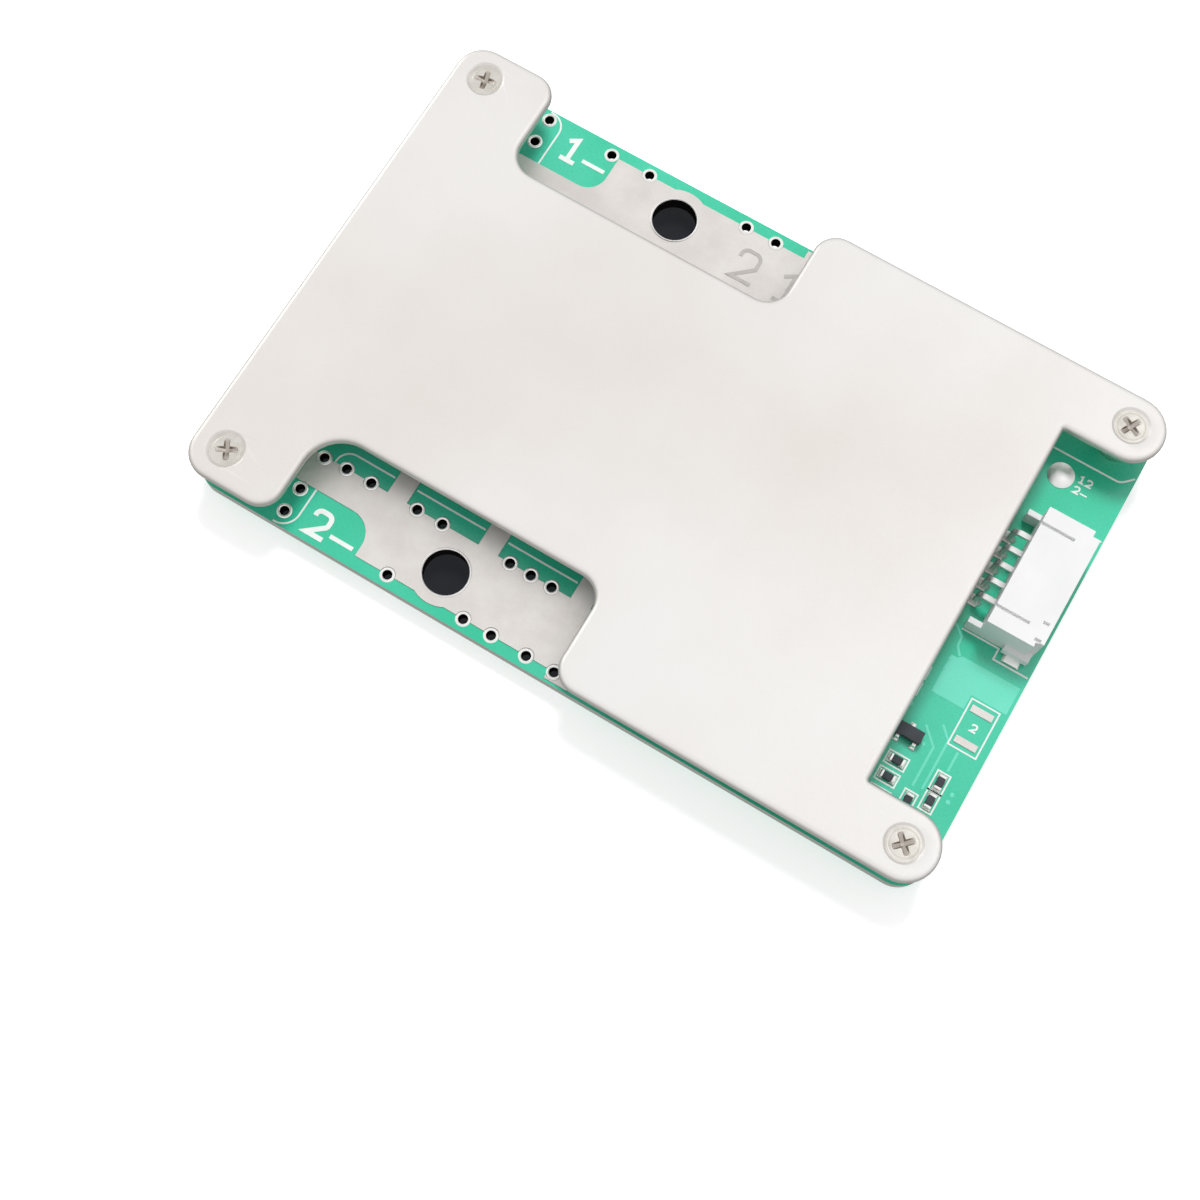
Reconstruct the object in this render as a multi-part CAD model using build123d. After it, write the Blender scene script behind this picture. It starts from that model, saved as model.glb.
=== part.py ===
"""Battery management board: a circuit board with a heat sink plate screwed over it.

The board lies flat. Z = 0 is the underside of the four nuts, the origin is the middle of the
board, X runs along its long side towards the header and Y towards the battery terminal.
All sizes are in millimetres.
"""

from build123d import *
import os

# Heat sink plate
PLATE_LENGTH = 87.0
PLATE_WIDTH = 58.0
PLATE_THICKNESS = 1.0
PLATE_EDGE_ROUND = 0.7
PLATE_CORNER = 3.2
PLATE_MIN_FLAT = 0.04

# Notches over the two terminals, one in each long side
NOTCH_START = 11.4
NOTCH_LENGTH = 33.5
NOTCH_DEPTH = 11.1
NOTCH_MOUTH_ROUND = 2.7
NOTCH_RIGHT_ROUND = 2.65
BATTERY_NOTCH_LEFT_ROUND = 2.8
PACK_NOTCH_LEFT_ROUND = 4.2

# Two ears of the plate reach past the header, over the right-hand screws
EAR_LENGTH = 9.75
EAR_WIDTH = 7.45
EAR_ROUND = 3.7
EAR_ROOT_ROUND = 0.15

# Stack of the assembly
NUT_HEIGHT = 1.2
BOARD_THICKNESS = 1.6
SPACER_HEIGHT = 4.4
TIN_THICKNESS = 0.08
PRINT_THICKNESS = 0.04

# Circuit board
PLATE_OVERHANG_X = 0.15
PLATE_OVERHANG_Y = 0.5
BOARD_CORNER = 3.0

# Corner fastening
SCREW_INSET_X = 3.87
SCREW_INSET_Y = 3.67
SCREW_RADIUS = 1.0
SCREW_HEAD_RADIUS = 1.9
SCREW_SINK = 0.15
SCREW_TIP_RECESS = 0.05
HOLE_CLEARANCE = 0.15
SEAT_CLEARANCE = 0.02
CROSS_LENGTH = 2.3
CROSS_WIDTH = 0.5
CROSS_DEPTH = 0.6
NUT_ACROSS_FLATS = 4.0
SPACER_RADIUS = 2.0
SCREW_TURNS = {"1": 12.0, "2": 62.0, "3": 28.0, "4": 45.0}

# Terminals: a hole for the cable bolt in a wide tinned land, plated through the board
TERMINAL_FROM_NOTCH = 17.8
TERMINAL_FROM_EDGE = 4.67
TERMINAL_RADIUS = 2.5
BARREL_WALL = 0.2
LAND_BULGE_RADIUS = 3.77
LAND_FROM_EDGE = 1.35
LAND_LEFT_REACH = 1.4
LAND_RIGHT_REACH = 1.6
LAND_END_TO_EDGE = 0.3
LABEL_FIELD_LENGTH = 8.65
BATTERY_FIELD_DEPTH = 6.5
PACK_FIELD_DEPTH = 5.4
BATTERY_FIELD_ROUND = 2.3
PACK_FIELD_ROUND = 2.8
LAND_TO_ROW = 1.2
PACK_LAND_DEPTH = 9.0
STRIP_END_FROM_RIGHT = 1.1
MASK_ZONE_WIDTH = 8.9
LAND_GAP = 0.05

# Plated vias beside the lands
VIA_HOLE_RADIUS = 0.52
VIA_WALL = 0.06
VIA_RING_RADIUS = 0.85
VIA_ROW_FROM_EDGE = 1.33
VIA_FIT = 0.01
BATTERY_ROW_OFFSETS = (-10.07, -5.14, 7.31, 11.05)
PACK_ROW_OFFSETS = (-5.11, 4.2, 7.61, 11.85, 15.23)
INNER_ROW_OFFSETS = ((-0.67, 2.41), (-3.13, 0.0), (-2.93, -0.38, 2.15))
BATTERY_SIDE_VIAS = ((-0.56, 1.16), (-0.57, 4.3))
PACK_SIDE_VIAS = ((-0.03, 8.84), (-0.33, 4.61), (-0.41, 1.7))

# Power transistors: leadless packages in two rows under the plate
POWER_PITCH = 11.3
POWER_FIRST_FROM_NOTCH = 3.35
POWER_LENGTH = 10.38
POWER_WIDTH = 9.9
POWER_HEIGHT = 2.3
POWER_DRAFT = 0.15
POWER_FOOT_REACH = 0.7
POWER_TAB_REACH = 0.6
POWER_FOOT_FROM_NOTCH = 1.3
POWER_LEAD_COUNT = 8
POWER_LEAD_PITCH = 1.2
POWER_LEAD_WIDTH = 0.7
POWER_LEAD_LENGTH = 1.9
POWER_FRAME_WIDTH = 8.1
POWER_FRAME_LENGTH = 7.4
FRAME_THICKNESS = 0.5
PAD_MARGIN = 0.15
ROW_SPACING = 1.4
GAP_PAD_MARGIN = 0.3

# Current shunts, in a column beside the battery land
SHUNT_LENGTH = 6.3
SHUNT_WIDTH = 3.2
SHUNT_HEIGHT = 0.8
SHUNT_END = 1.1
SHUNT_SPACING = 1.2
SHUNT_MARGIN = 1.4
SHUNT_FROM_LAND = 0.6

# Header for the balance harness: five ways, side entry, mouth towards +X
HEADER_WAYS = 5
HEADER_PITCH = 2.0
HEADER_Y = 5.95
HEADER_FROM_EDGE = 0.9
HEADER_DEPTH = 6.1
HEADER_WIDTH = 14.2
HEADER_HEIGHT = 5.2
HEADER_WALL = 0.6
HEADER_SIDE_WALL = 0.9
HEADER_BACK_WALL = 1.2
HEADER_ARM_LENGTH = 1.5
HEADER_ARM_WIDTH = 0.65
HEADER_ARM_HEIGHT = 2.2
HEADER_STEP = 0.65
HEADER_STEP_DEPTH = 0.85
LUG_LENGTH = 2.9
LUG_FROM_MOUTH = 0.15
LUG_REACH = 0.55
LUG_HEIGHT = 1.5
GROOVE_WIDTH = 0.35
GROOVE_DEPTH = 0.4
GROOVE_LENGTH = 3.8
GROOVE_FROM_SIDE = 2.0
LATCH_SLOT_LENGTH = 0.7
LATCH_SLOT_FROM_MOUTH = 0.45
CONTACT_WIDTH = 0.64
CONTACT_THICKNESS = 0.5
CONTACT_LEVEL = 2.3
CONTACT_TIP_FROM_MOUTH = 1.6
CONTACT_BACK_REACH = 2.0
CONTACT_FOOT = 0.55
CONTACT_BEND = 0.4
CONTACT_FIT = 0.02
TAB_WIDTH = 1.6
TAB_REACH = 0.7
TAB_THICKNESS = 0.25

# Small parts: length, width, height of each package
CHIP_SIZE = (1.6, 0.8, 0.5)
CHIP_END = 0.3
CAPACITOR_SIZE = (2.0, 1.25, 0.9)
CAPACITOR_END = 0.4
BALANCE_SIZE = (6.3, 3.2, 0.6)
BALANCE_END = 0.6
SMALL_BODY = (2.8, 1.35, 1.0)
SMALL_LEAD_WIDTH = 0.42
SMALL_LEAD_REACH = 0.55
SMALL_LEAD_PITCH = 1.9
CONTROLLER_SIZE = (9.9, 3.9, 1.5)
CONTROLLER_LEADS_PER_SIDE = 8
CONTROLLER_PITCH = 1.27
CONTROLLER_LEAD_REACH = 1.05
CONTROLLER_LEAD_WIDTH = 0.42
LEAD_THICKNESS = 0.15
LEAD_KNEE = 0.35
LEAD_ANKLE = 0.5
BODY_CLEARANCE = 0.1
CAP_RISE = 0.04

# Places of the visible small parts: in from the board's right-hand edge, and up from the lower ear
EDGE_TRANSISTOR_PLACE = (8.05, 7.45)
EDGE_CHIPS_ALONG_X = ((7.8, 4.4), (7.85, 2.45), (7.85, 0.4), (10.4, 14.15), (10.4, 12.2))
EDGE_CHIPS_ALONG_Y = ((4.97, 1.25), (2.98, 4.6), (2.98, 2.4))
SPARE_FOOTPRINT_X = 2.55
SPARE_PAD_SIZE = (2.5, 0.78)
SPARE_PAD_ROWS = (13.2, 9.55)
SPARE_FRAME = (3.2, 5.45)
SOLDER_POINT_FROM_EDGE = 7.2
SOLDER_POINT_ABOVE_HEADER = 6.02
SOLDER_POINT_RADIUS = 1.47
SOLDER_POINT_HEIGHT = 0.4

# Places of the parts hidden under the plate
BALANCE_FROM_EAR = 7.2
BALANCE_BELOW_EAR = 3.0
BALANCE_ROW_STEP = 4.4
BALANCE_COUNT = 4
BALANCE_TRANSISTOR_SPACING = 6.6
CONTROLLER_FROM_EAR = 12.0
CONTROLLER_BELOW_ROWS = 1.6
CONTROL_LENGTH = 16.5
CAPACITOR_FROM_EAR = 4.6
CAPACITOR_ROW_STEP = 3.2
CAPACITOR_COUNT = 4

# Screen print
PRINT_LINE = 0.2
FRAME_LINE = 0.17
FRAME_MARGIN = 0.32
LABEL_HEIGHT = 3.3
LABEL_STROKE = 0.55
LABEL_FROM_NOTCH = 2.4
BATTERY_LABEL_FROM_EDGE = 4.75
PACK_LABEL_FROM_EDGE = 0.7
NUMERAL_WIDTH = 0.72
NUMERAL_GAP = 0.2
SMALL_PRINT_HEIGHT = 0.95
SMALL_PRINT_STROKE = 0.19
SMALL_PRINT_GAP = 0.35
LAND_MARK_HEIGHT = 4.1
LAND_MARK_STROKE = 0.42
LAND_MARK_FROM_RIGHT = 7.6
LAND_MARK_FROM_EDGE = 7.5
LAND_MARK_STEP = 5.3
CORNER_LINE_FROM_NOTCH = 1.2
CORNER_LINE_ROUND = 1.9
PRINT_FROM_EDGE = 0.2
ZONE_LINE_RISE = 1.8
HEADER_LINE_GAP = 0.25
EAR_LINE_BEND = 1.2

# Levels and edges worked out from the sizes above
BOARD_LOW = NUT_HEIGHT
BOARD_TOP = BOARD_LOW + BOARD_THICKNESS
PART_BASE = BOARD_TOP + TIN_THICKNESS
PLATE_LOW = BOARD_TOP + SPACER_HEIGHT
PLATE_TOP = PLATE_LOW + PLATE_THICKNESS
BOARD_LENGTH = PLATE_LENGTH - 2 * PLATE_OVERHANG_X
BOARD_WIDTH = PLATE_WIDTH - 2 * PLATE_OVERHANG_Y
BOARD_EAST = BOARD_LENGTH / 2
BOARD_NORTH = BOARD_WIDTH / 2
PLATE_EAST = PLATE_LENGTH / 2
PLATE_NORTH = PLATE_WIDTH / 2
NOTCH_LEFT = -PLATE_EAST + NOTCH_START
NOTCH_RIGHT = NOTCH_LEFT + NOTCH_LENGTH
NOTCH_INNER = PLATE_NORTH - NOTCH_DEPTH
EAR_ROOT = PLATE_EAST - EAR_LENGTH
EAR_INNER = PLATE_NORTH - EAR_WIDTH
TERMINAL_X = NOTCH_LEFT + TERMINAL_FROM_NOTCH
TERMINAL_Y = BOARD_NORTH - TERMINAL_FROM_EDGE
POWER_FIRST_X = NOTCH_LEFT + POWER_FIRST_FROM_NOTCH
POWER_ROOM = EAR_ROOT - CONTROL_LENGTH - POWER_WIDTH / 2 - POWER_FIRST_X
POWER_COUNT = 1 + int(POWER_ROOM / POWER_PITCH)
POWER_XS = [POWER_FIRST_X + POWER_PITCH * step for step in range(POWER_COUNT)]
PACK_FOOT_Y = -NOTCH_INNER + POWER_FOOT_FROM_NOTCH
POWER_REACH = POWER_FOOT_REACH + POWER_LENGTH + POWER_TAB_REACH
BATTERY_FOOT_Y = PACK_FOOT_Y + 2 * POWER_REACH + ROW_SPACING
PACK_LAND_INNER = -BOARD_NORTH + PACK_LAND_DEPTH
BATTERY_LAND_INNER = BATTERY_FOOT_Y + LAND_TO_ROW
LAND_RIGHT = NOTCH_RIGHT + LAND_RIGHT_REACH
BALANCE_TOP_Y = EAR_INNER - BALANCE_BELOW_EAR
BALANCE_LOW_Y = BALANCE_TOP_Y - BALANCE_ROW_STEP * (BALANCE_COUNT - 1) - BALANCE_SIZE[1] / 2
CONTROLLER_Y = BALANCE_LOW_Y - CONTROLLER_BELOW_ROWS - CONTROLLER_SIZE[0] / 2
HEADER_MOUTH = BOARD_EAST - HEADER_FROM_EDGE
HEADER_BACK = HEADER_MOUTH - HEADER_DEPTH
SCREW_PLACES = {
    "1": (-PLATE_EAST + SCREW_INSET_X, PLATE_NORTH - SCREW_INSET_Y),
    "2": (PLATE_EAST - SCREW_INSET_X, PLATE_NORTH - SCREW_INSET_Y),
    "3": (-PLATE_EAST + SCREW_INSET_X, -PLATE_NORTH + SCREW_INSET_Y),
    "4": (PLATE_EAST - SCREW_INSET_X, -PLATE_NORTH + SCREW_INSET_Y),
}
FROM_LOW_CORNER = (Align.MIN, Align.MIN, Align.MIN)
FROM_BELOW = (Align.CENTER, Align.CENTER, Align.MIN)

# Every tinned pad that a part stands on is collected here while the parts are placed
solder_pads = []


def block(x_low, x_high, y_low, y_high, z_low, z_high):
    """Box between two opposite corners."""
    size = (x_high - x_low, y_high - y_low, z_high - z_low)
    return Pos(x_low, y_low, z_low) * Box(*size, align=FROM_LOW_CORNER)


def rod(x, y, radius, z_low, z_high):
    """Upright cylinder between two levels."""
    return Pos(x, y, z_low) * Cylinder(radius, z_high - z_low, align=FROM_BELOW)


def tube(x, y, outer, inner, z_low, z_high):
    """Upright tube between two levels."""
    return rod(x, y, outer, z_low, z_high) - rod(x, y, inner, z_low, z_high)


def slab(outline, z_low, height):
    """Flat piece of the given outline."""
    return Pos(0, 0, z_low) * extrude(outline, amount=height)


def rounded_outline(corners):
    """Closed outline through corners given as (x, y, radius)."""
    points = [(x, y) for x, y, _ in corners]
    radii = [radius for _, _, radius in corners]
    return make_face(FilletPolyline(*points, radius=radii, close=True))


def rectangle(x_low, x_high, y_low, y_high):
    """Flat rectangle between two opposite corners."""
    return Pos((x_low + x_high) / 2, (y_low + y_high) / 2) * Rectangle(x_high - x_low, y_high - y_low)


def save(name, *pieces):
    """Write one node, which may hold several separate solids."""
    solids = [solid for piece in pieces for solid in piece.solids()]
    shape = solids[0] if len(solids) == 1 else Compound(children=solids)
    export_step(shape, f"parts/{name}.step")


# Heat sink plate

def plate_corners():
    """Corners of the plate's outline, counterclockwise from the lower left one."""
    ear_round = min(EAR_ROUND, EAR_WIDTH / 2 - PLATE_MIN_FLAT / 2)
    return [
        (-PLATE_EAST, -PLATE_NORTH, PLATE_CORNER),
        (NOTCH_LEFT, -PLATE_NORTH, NOTCH_MOUTH_ROUND),
        (NOTCH_LEFT, -NOTCH_INNER, PACK_NOTCH_LEFT_ROUND),
        (NOTCH_RIGHT, -NOTCH_INNER, NOTCH_RIGHT_ROUND),
        (NOTCH_RIGHT, -PLATE_NORTH, NOTCH_MOUTH_ROUND),
        (PLATE_EAST, -PLATE_NORTH, ear_round),
        (PLATE_EAST, -EAR_INNER, ear_round),
        (EAR_ROOT, -EAR_INNER, EAR_ROOT_ROUND),
        (EAR_ROOT, EAR_INNER, EAR_ROOT_ROUND),
        (PLATE_EAST, EAR_INNER, ear_round),
        (PLATE_EAST, PLATE_NORTH, ear_round),
        (NOTCH_RIGHT, PLATE_NORTH, NOTCH_MOUTH_ROUND),
        (NOTCH_RIGHT, NOTCH_INNER, NOTCH_RIGHT_ROUND),
        (NOTCH_LEFT, NOTCH_INNER, BATTERY_NOTCH_LEFT_ROUND),
        (NOTCH_LEFT, PLATE_NORTH, NOTCH_MOUTH_ROUND),
        (-PLATE_EAST, PLATE_NORTH, PLATE_CORNER),
    ]


def heat_sink_plate():
    """Sheet with rounded upper edges and four countersunk holes."""
    plate = slab(rounded_outline(plate_corners()), PLATE_LOW, PLATE_THICKNESS)
    top_edges = plate.edges().filter_by_position(Axis.Z, PLATE_TOP, PLATE_TOP)
    plate = fillet(top_edges, min(PLATE_EDGE_ROUND, PLATE_THICKNESS - PLATE_MIN_FLAT))
    mouth_radius = SCREW_HEAD_RADIUS + SCREW_SINK + SEAT_CLEARANCE
    for x, y in SCREW_PLACES.values():
        seat = Pos(x, y, PLATE_TOP - mouth_radius) * Cone(0, mouth_radius, mouth_radius, align=FROM_BELOW)
        plate = plate - seat - rod(x, y, SCREW_RADIUS + SEAT_CLEARANCE, PLATE_LOW, PLATE_TOP)
    return plate


# Corner fastening

def corner_screw(x, y, turn):
    """Countersunk cross recess screw that clamps plate, spacer, board and nut."""
    head_top = PLATE_TOP - SCREW_SINK
    seat_height = SCREW_HEAD_RADIUS - SCREW_RADIUS
    neck = head_top - seat_height
    screw = rod(x, y, SCREW_RADIUS, SCREW_TIP_RECESS, head_top)
    screw += Pos(x, y, neck) * Cone(SCREW_RADIUS, SCREW_HEAD_RADIUS, seat_height, align=FROM_BELOW)
    point = Pos(0, 0, head_top) * Rot(180, 0, 0) * Cone(CROSS_LENGTH / 2, CROSS_WIDTH / 2, CROSS_DEPTH,
                                                      align=FROM_BELOW)
    wings = Box(CROSS_LENGTH, CROSS_WIDTH, 2 * CROSS_DEPTH) + Box(CROSS_WIDTH, CROSS_LENGTH, 2 * CROSS_DEPTH)
    recess = (Pos(0, 0, head_top) * wings) & point
    return screw - Pos(x, y, 0) * Rot(0, 0, turn) * recess


def corner_spacer(x, y):
    """Round sleeve that holds the plate above the board."""
    return tube(x, y, SPACER_RADIUS, SCREW_RADIUS + HOLE_CLEARANCE, BOARD_TOP, PLATE_LOW)


def corner_nut(x, y):
    """Thin hexagon nut under the board."""
    hexagon = RegularPolygon(NUT_ACROSS_FLATS / 2, 6, major_radius=False)
    nut = Pos(x, y) * extrude(hexagon, amount=NUT_HEIGHT)
    return nut - rod(x, y, SCREW_RADIUS + SEAT_CLEARANCE, 0, NUT_HEIGHT)


# Circuit board with its plated holes

def via_places():
    """Centres of the plated vias."""
    row_y = BOARD_NORTH - VIA_ROW_FROM_EDGE
    places = [(TERMINAL_X + offset, row_y) for offset in BATTERY_ROW_OFFSETS]
    places += [(TERMINAL_X + offset, -row_y) for offset in PACK_ROW_OFFSETS]
    for centre, offsets in zip(POWER_XS, INNER_ROW_OFFSETS):
        places += [(centre + offset, PACK_LAND_INNER) for offset in offsets]
    places += [(NOTCH_LEFT + x, BOARD_NORTH - y) for x, y in BATTERY_SIDE_VIAS]
    places += [(NOTCH_LEFT + x, -BOARD_NORTH + y) for x, y in PACK_SIDE_VIAS]
    return places


def circuit_board():
    """Rounded board with holes for the screws, the terminals and the vias."""
    outline = RectangleRounded(BOARD_LENGTH, BOARD_WIDTH, BOARD_CORNER)
    for x, y in SCREW_PLACES.values():
        outline -= Pos(x, y) * Circle(SCREW_RADIUS + HOLE_CLEARANCE)
    for side in (1, -1):
        outline -= Pos(TERMINAL_X, side * TERMINAL_Y) * Circle(TERMINAL_RADIUS + BARREL_WALL)
    for x, y in via_places():
        outline -= Pos(x, y) * Circle(VIA_HOLE_RADIUS + VIA_WALL)
    return slab(outline, BOARD_LOW, BOARD_THICKNESS)


def plated_via(x, y):
    """Barrel through the board with a ring on each side."""
    hole = rod(x, y, VIA_HOLE_RADIUS, BOARD_LOW - TIN_THICKNESS, BOARD_TOP + TIN_THICKNESS)
    ring_levels = (BOARD_LOW - TIN_THICKNESS, BOARD_TOP)
    via = rod(x, y, VIA_HOLE_RADIUS + VIA_WALL, BOARD_LOW, BOARD_TOP)
    for level in ring_levels:
        via += rod(x, y, VIA_RING_RADIUS, level, level + TIN_THICKNESS)
    return via - hole


# Terminals

def label_field(side, depth, corner_round):
    """Green field that the terminal's mark is printed on, cut out of the land's outer left corner."""
    left = NOTCH_LEFT - LAND_LEFT_REACH
    right = NOTCH_LEFT + LABEL_FIELD_LENGTH
    outer = side * BOARD_NORTH
    inner = side * (BOARD_NORTH - depth)
    corners = [(left, outer, 0), (right, outer, 0), (right, inner, corner_round), (left, inner, 0)]
    return rounded_outline(corners if side < 0 else corners[::-1])


def terminal_outline(side, inner, field):
    """Tinned land around one terminal hole, reaching in to the level inner."""
    left = NOTCH_LEFT - LAND_LEFT_REACH
    outer = side * (BOARD_NORTH - LAND_FROM_EDGE)
    land = rectangle(left, LAND_RIGHT, min(outer, inner), max(outer, inner))
    land += Pos(TERMINAL_X, side * TERMINAL_Y) * Circle(LAND_BULGE_RADIUS)
    land -= field
    end_outer = side * (BOARD_NORTH - LAND_END_TO_EDGE)
    strip_end = NOTCH_RIGHT - STRIP_END_FROM_RIGHT
    land += rectangle(strip_end, LAND_RIGHT, min(end_outer, inner), max(end_outer, inner))
    return land


def terminal(side, land):
    """Land on each side of the board, joined by the plated wall of the hole."""
    for x, y in via_places():
        land -= Pos(x, y) * Circle(VIA_RING_RADIUS + VIA_FIT)
    solid = slab(land, BOARD_TOP, TIN_THICKNESS) + slab(land, BOARD_LOW - TIN_THICKNESS, TIN_THICKNESS)
    solid += rod(TERMINAL_X, side * TERMINAL_Y, TERMINAL_RADIUS + BARREL_WALL, BOARD_LOW, BOARD_TOP)
    hole_low = BOARD_LOW - TIN_THICKNESS
    return solid - rod(TERMINAL_X, side * TERMINAL_Y, TERMINAL_RADIUS, hole_low, BOARD_TOP + TIN_THICKNESS)


def battery_terminal():
    """Terminal for the battery cable, under the notch on the +Y side."""
    field = label_field(1, BATTERY_FIELD_DEPTH, BATTERY_FIELD_ROUND)
    return terminal(1, terminal_outline(1, BATTERY_LAND_INNER, field))


def pack_terminal():
    """Terminal for the pack cable, with tinned fingers between the transistors of its row."""
    field = label_field(-1, PACK_FIELD_DEPTH, PACK_FIELD_ROUND)
    land = terminal_outline(-1, PACK_LAND_INNER, field)
    for left_x, right_x in zip(POWER_XS, POWER_XS[1:]):
        finger = (left_x + MASK_ZONE_WIDTH / 2, right_x - MASK_ZONE_WIDTH / 2)
        land += rectangle(*finger, PACK_LAND_INNER, PACK_FOOT_Y - PAD_MARGIN - LAND_GAP)
    return terminal(-1, land)


# Pads and packages

def pad(x, y, length, width):
    """Tinned pad on the board under a part's lead."""
    outline = (x - length / 2, x + length / 2, y - width / 2, y + width / 2)
    solder_pads.append(block(*outline, BOARD_TOP, PART_BASE))


def two_end_part(x, y, size, end, along_y=False):
    """Chip part with a metal cap at each end: returns its body and its two ends."""
    length, width, height = size
    place = Pos(x, y, PART_BASE) * Rot(0, 0, 90 if along_y else 0)
    body = place * Box(length - 2 * end, width, height - CAP_RISE, align=FROM_BELOW)
    reach = end + 2 * PAD_MARGIN
    breadth = width + PAD_MARGIN
    ends = []
    for side in (1, -1):
        offset = side * (length - end) / 2
        ends.append(place * Pos(offset, 0, 0) * Box(end, width, height, align=FROM_BELOW))
        if along_y:
            pad(x, y + offset, breadth, reach)
        else:
            pad(x + offset, y, reach, breadth)
    return body, ends


def gull_lead(x, y, turn, root, reach, width, level):
    """Bent lead that leaves a package at root and drops to its pad; turn 0 points it along +Y."""
    knee = root + reach * LEAD_KNEE
    ankle = root + reach * LEAD_ANKLE
    tip = root + reach
    upper = level + LEAD_THICKNESS
    profile = [
        (root, level), (knee, level), (ankle, 0), (tip, 0), (tip, LEAD_THICKNESS),
        (ankle + LEAD_THICKNESS, LEAD_THICKNESS), (knee + LEAD_THICKNESS, upper), (root, upper),
    ]
    outline = make_face(Polyline(*profile, close=True))
    return Pos(x, y, PART_BASE) * Rot(0, 0, turn) * extrude(Plane.YZ * outline, amount=width / 2, both=True)


def small_transistor(x, y):
    """Three-lead package: returns its body and its leads."""
    length, width, height = SMALL_BODY
    body = Pos(x, y, PART_BASE + BODY_CLEARANCE) * Box(length, width, height, align=FROM_BELOW)
    root = width / 2
    pad_y = root + SMALL_LEAD_REACH * (1 + LEAD_ANKLE) / 2
    pad_size = (SMALL_LEAD_WIDTH + PAD_MARGIN, SMALL_LEAD_REACH * (1 - LEAD_ANKLE) + PAD_MARGIN)
    lead_size = (root, SMALL_LEAD_REACH, SMALL_LEAD_WIDTH, height / 2)
    leads = [gull_lead(x, y, 0, *lead_size)]
    pad(x, y + pad_y, *pad_size)
    for offset in (-SMALL_LEAD_PITCH / 2, SMALL_LEAD_PITCH / 2):
        leads.append(gull_lead(x + offset, y, 180, *lead_size))
        pad(x + offset, y - pad_y, *pad_size)
    return body, leads


def controller(x, y):
    """Controller chip with a row of leads on each long side: returns its body and its leads."""
    length, width, height = CONTROLLER_SIZE
    body = Pos(x, y, PART_BASE + BODY_CLEARANCE) * Box(width, length, height, align=FROM_BELOW)
    pad_x = width / 2 + CONTROLLER_LEAD_REACH * (1 + LEAD_ANKLE) / 2
    pad_length = CONTROLLER_LEAD_REACH * (1 - LEAD_ANKLE) + PAD_MARGIN
    span = CONTROLLER_PITCH * (CONTROLLER_LEADS_PER_SIDE - 1)
    leads = []
    for step in range(CONTROLLER_LEADS_PER_SIDE):
        lead_y = y - span / 2 + CONTROLLER_PITCH * step
        for side in (1, -1):
            leads.append(gull_lead(x, lead_y, -90 * side, width / 2, CONTROLLER_LEAD_REACH,
                                   CONTROLLER_LEAD_WIDTH, height / 2))
            pad(x + side * pad_x, lead_y, pad_length, CONTROLLER_LEAD_WIDTH + PAD_MARGIN)
    return body, leads


def solder_point(x, y):
    """Shallow dome of solder on a round pad."""
    radius = (SOLDER_POINT_RADIUS**2 + SOLDER_POINT_HEIGHT**2) / (2 * SOLDER_POINT_HEIGHT)
    ball = Pos(x, y, PART_BASE + SOLDER_POINT_HEIGHT - radius) * Sphere(radius)
    dome = ball & rod(x, y, SOLDER_POINT_RADIUS, PART_BASE, PART_BASE + SOLDER_POINT_HEIGHT)
    return dome + rod(x, y, SOLDER_POINT_RADIUS, BOARD_TOP, PART_BASE)


# Power transistors

def power_transistor(x, foot_y, side):
    """Leadless power package whose feet end at foot_y: returns its body and its metal parts."""
    place = Pos(x, foot_y, PART_BASE) * Rot(0, 0, 0 if side > 0 else 180)
    middle = POWER_FOOT_REACH + POWER_LENGTH / 2
    low = Pos(0, middle) * Rectangle(POWER_WIDTH, POWER_LENGTH)
    top_size = (POWER_WIDTH - 2 * POWER_DRAFT, POWER_LENGTH - 2 * POWER_DRAFT)
    high = Pos(0, middle, POWER_HEIGHT) * Rectangle(*top_size)
    body = loft([low.face(), high.face()])
    half = POWER_FRAME_WIDTH / 2
    metal = [block(-half, half, POWER_REACH - POWER_FRAME_LENGTH, POWER_REACH, 0, FRAME_THICKNESS)]
    lead_span = POWER_LEAD_PITCH * (POWER_LEAD_COUNT - 1)
    for step in range(POWER_LEAD_COUNT):
        low_x = -lead_span / 2 + step * POWER_LEAD_PITCH - POWER_LEAD_WIDTH / 2
        metal.append(block(low_x, low_x + POWER_LEAD_WIDTH, 0, POWER_LEAD_LENGTH, 0, FRAME_THICKNESS))
    for piece in metal:
        body -= piece
    lead_pad_reach = POWER_LEAD_LENGTH + PAD_MARGIN
    lead_pad_y = foot_y + side * (lead_pad_reach / 2 - PAD_MARGIN)
    frame_pad_y = foot_y + side * (POWER_REACH - POWER_FRAME_LENGTH / 2)
    pad(x, lead_pad_y, lead_span + POWER_LEAD_WIDTH, lead_pad_reach)
    pad(x, frame_pad_y, POWER_FRAME_WIDTH, POWER_FRAME_LENGTH + PAD_MARGIN)
    return place * body, [place * piece for piece in metal]


def gap_pad(foot_y, side):
    """Soft heat pad between a row of transistors and the plate."""
    near = foot_y + side * (POWER_FOOT_REACH + GAP_PAD_MARGIN)
    far = foot_y + side * (POWER_FOOT_REACH + POWER_LENGTH - GAP_PAD_MARGIN)
    half = POWER_WIDTH / 2 - GAP_PAD_MARGIN
    return block(POWER_XS[0] - half, POWER_XS[-1] + half, min(near, far), max(near, far),
                 PART_BASE + POWER_HEIGHT, PLATE_LOW)


# Header

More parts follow.
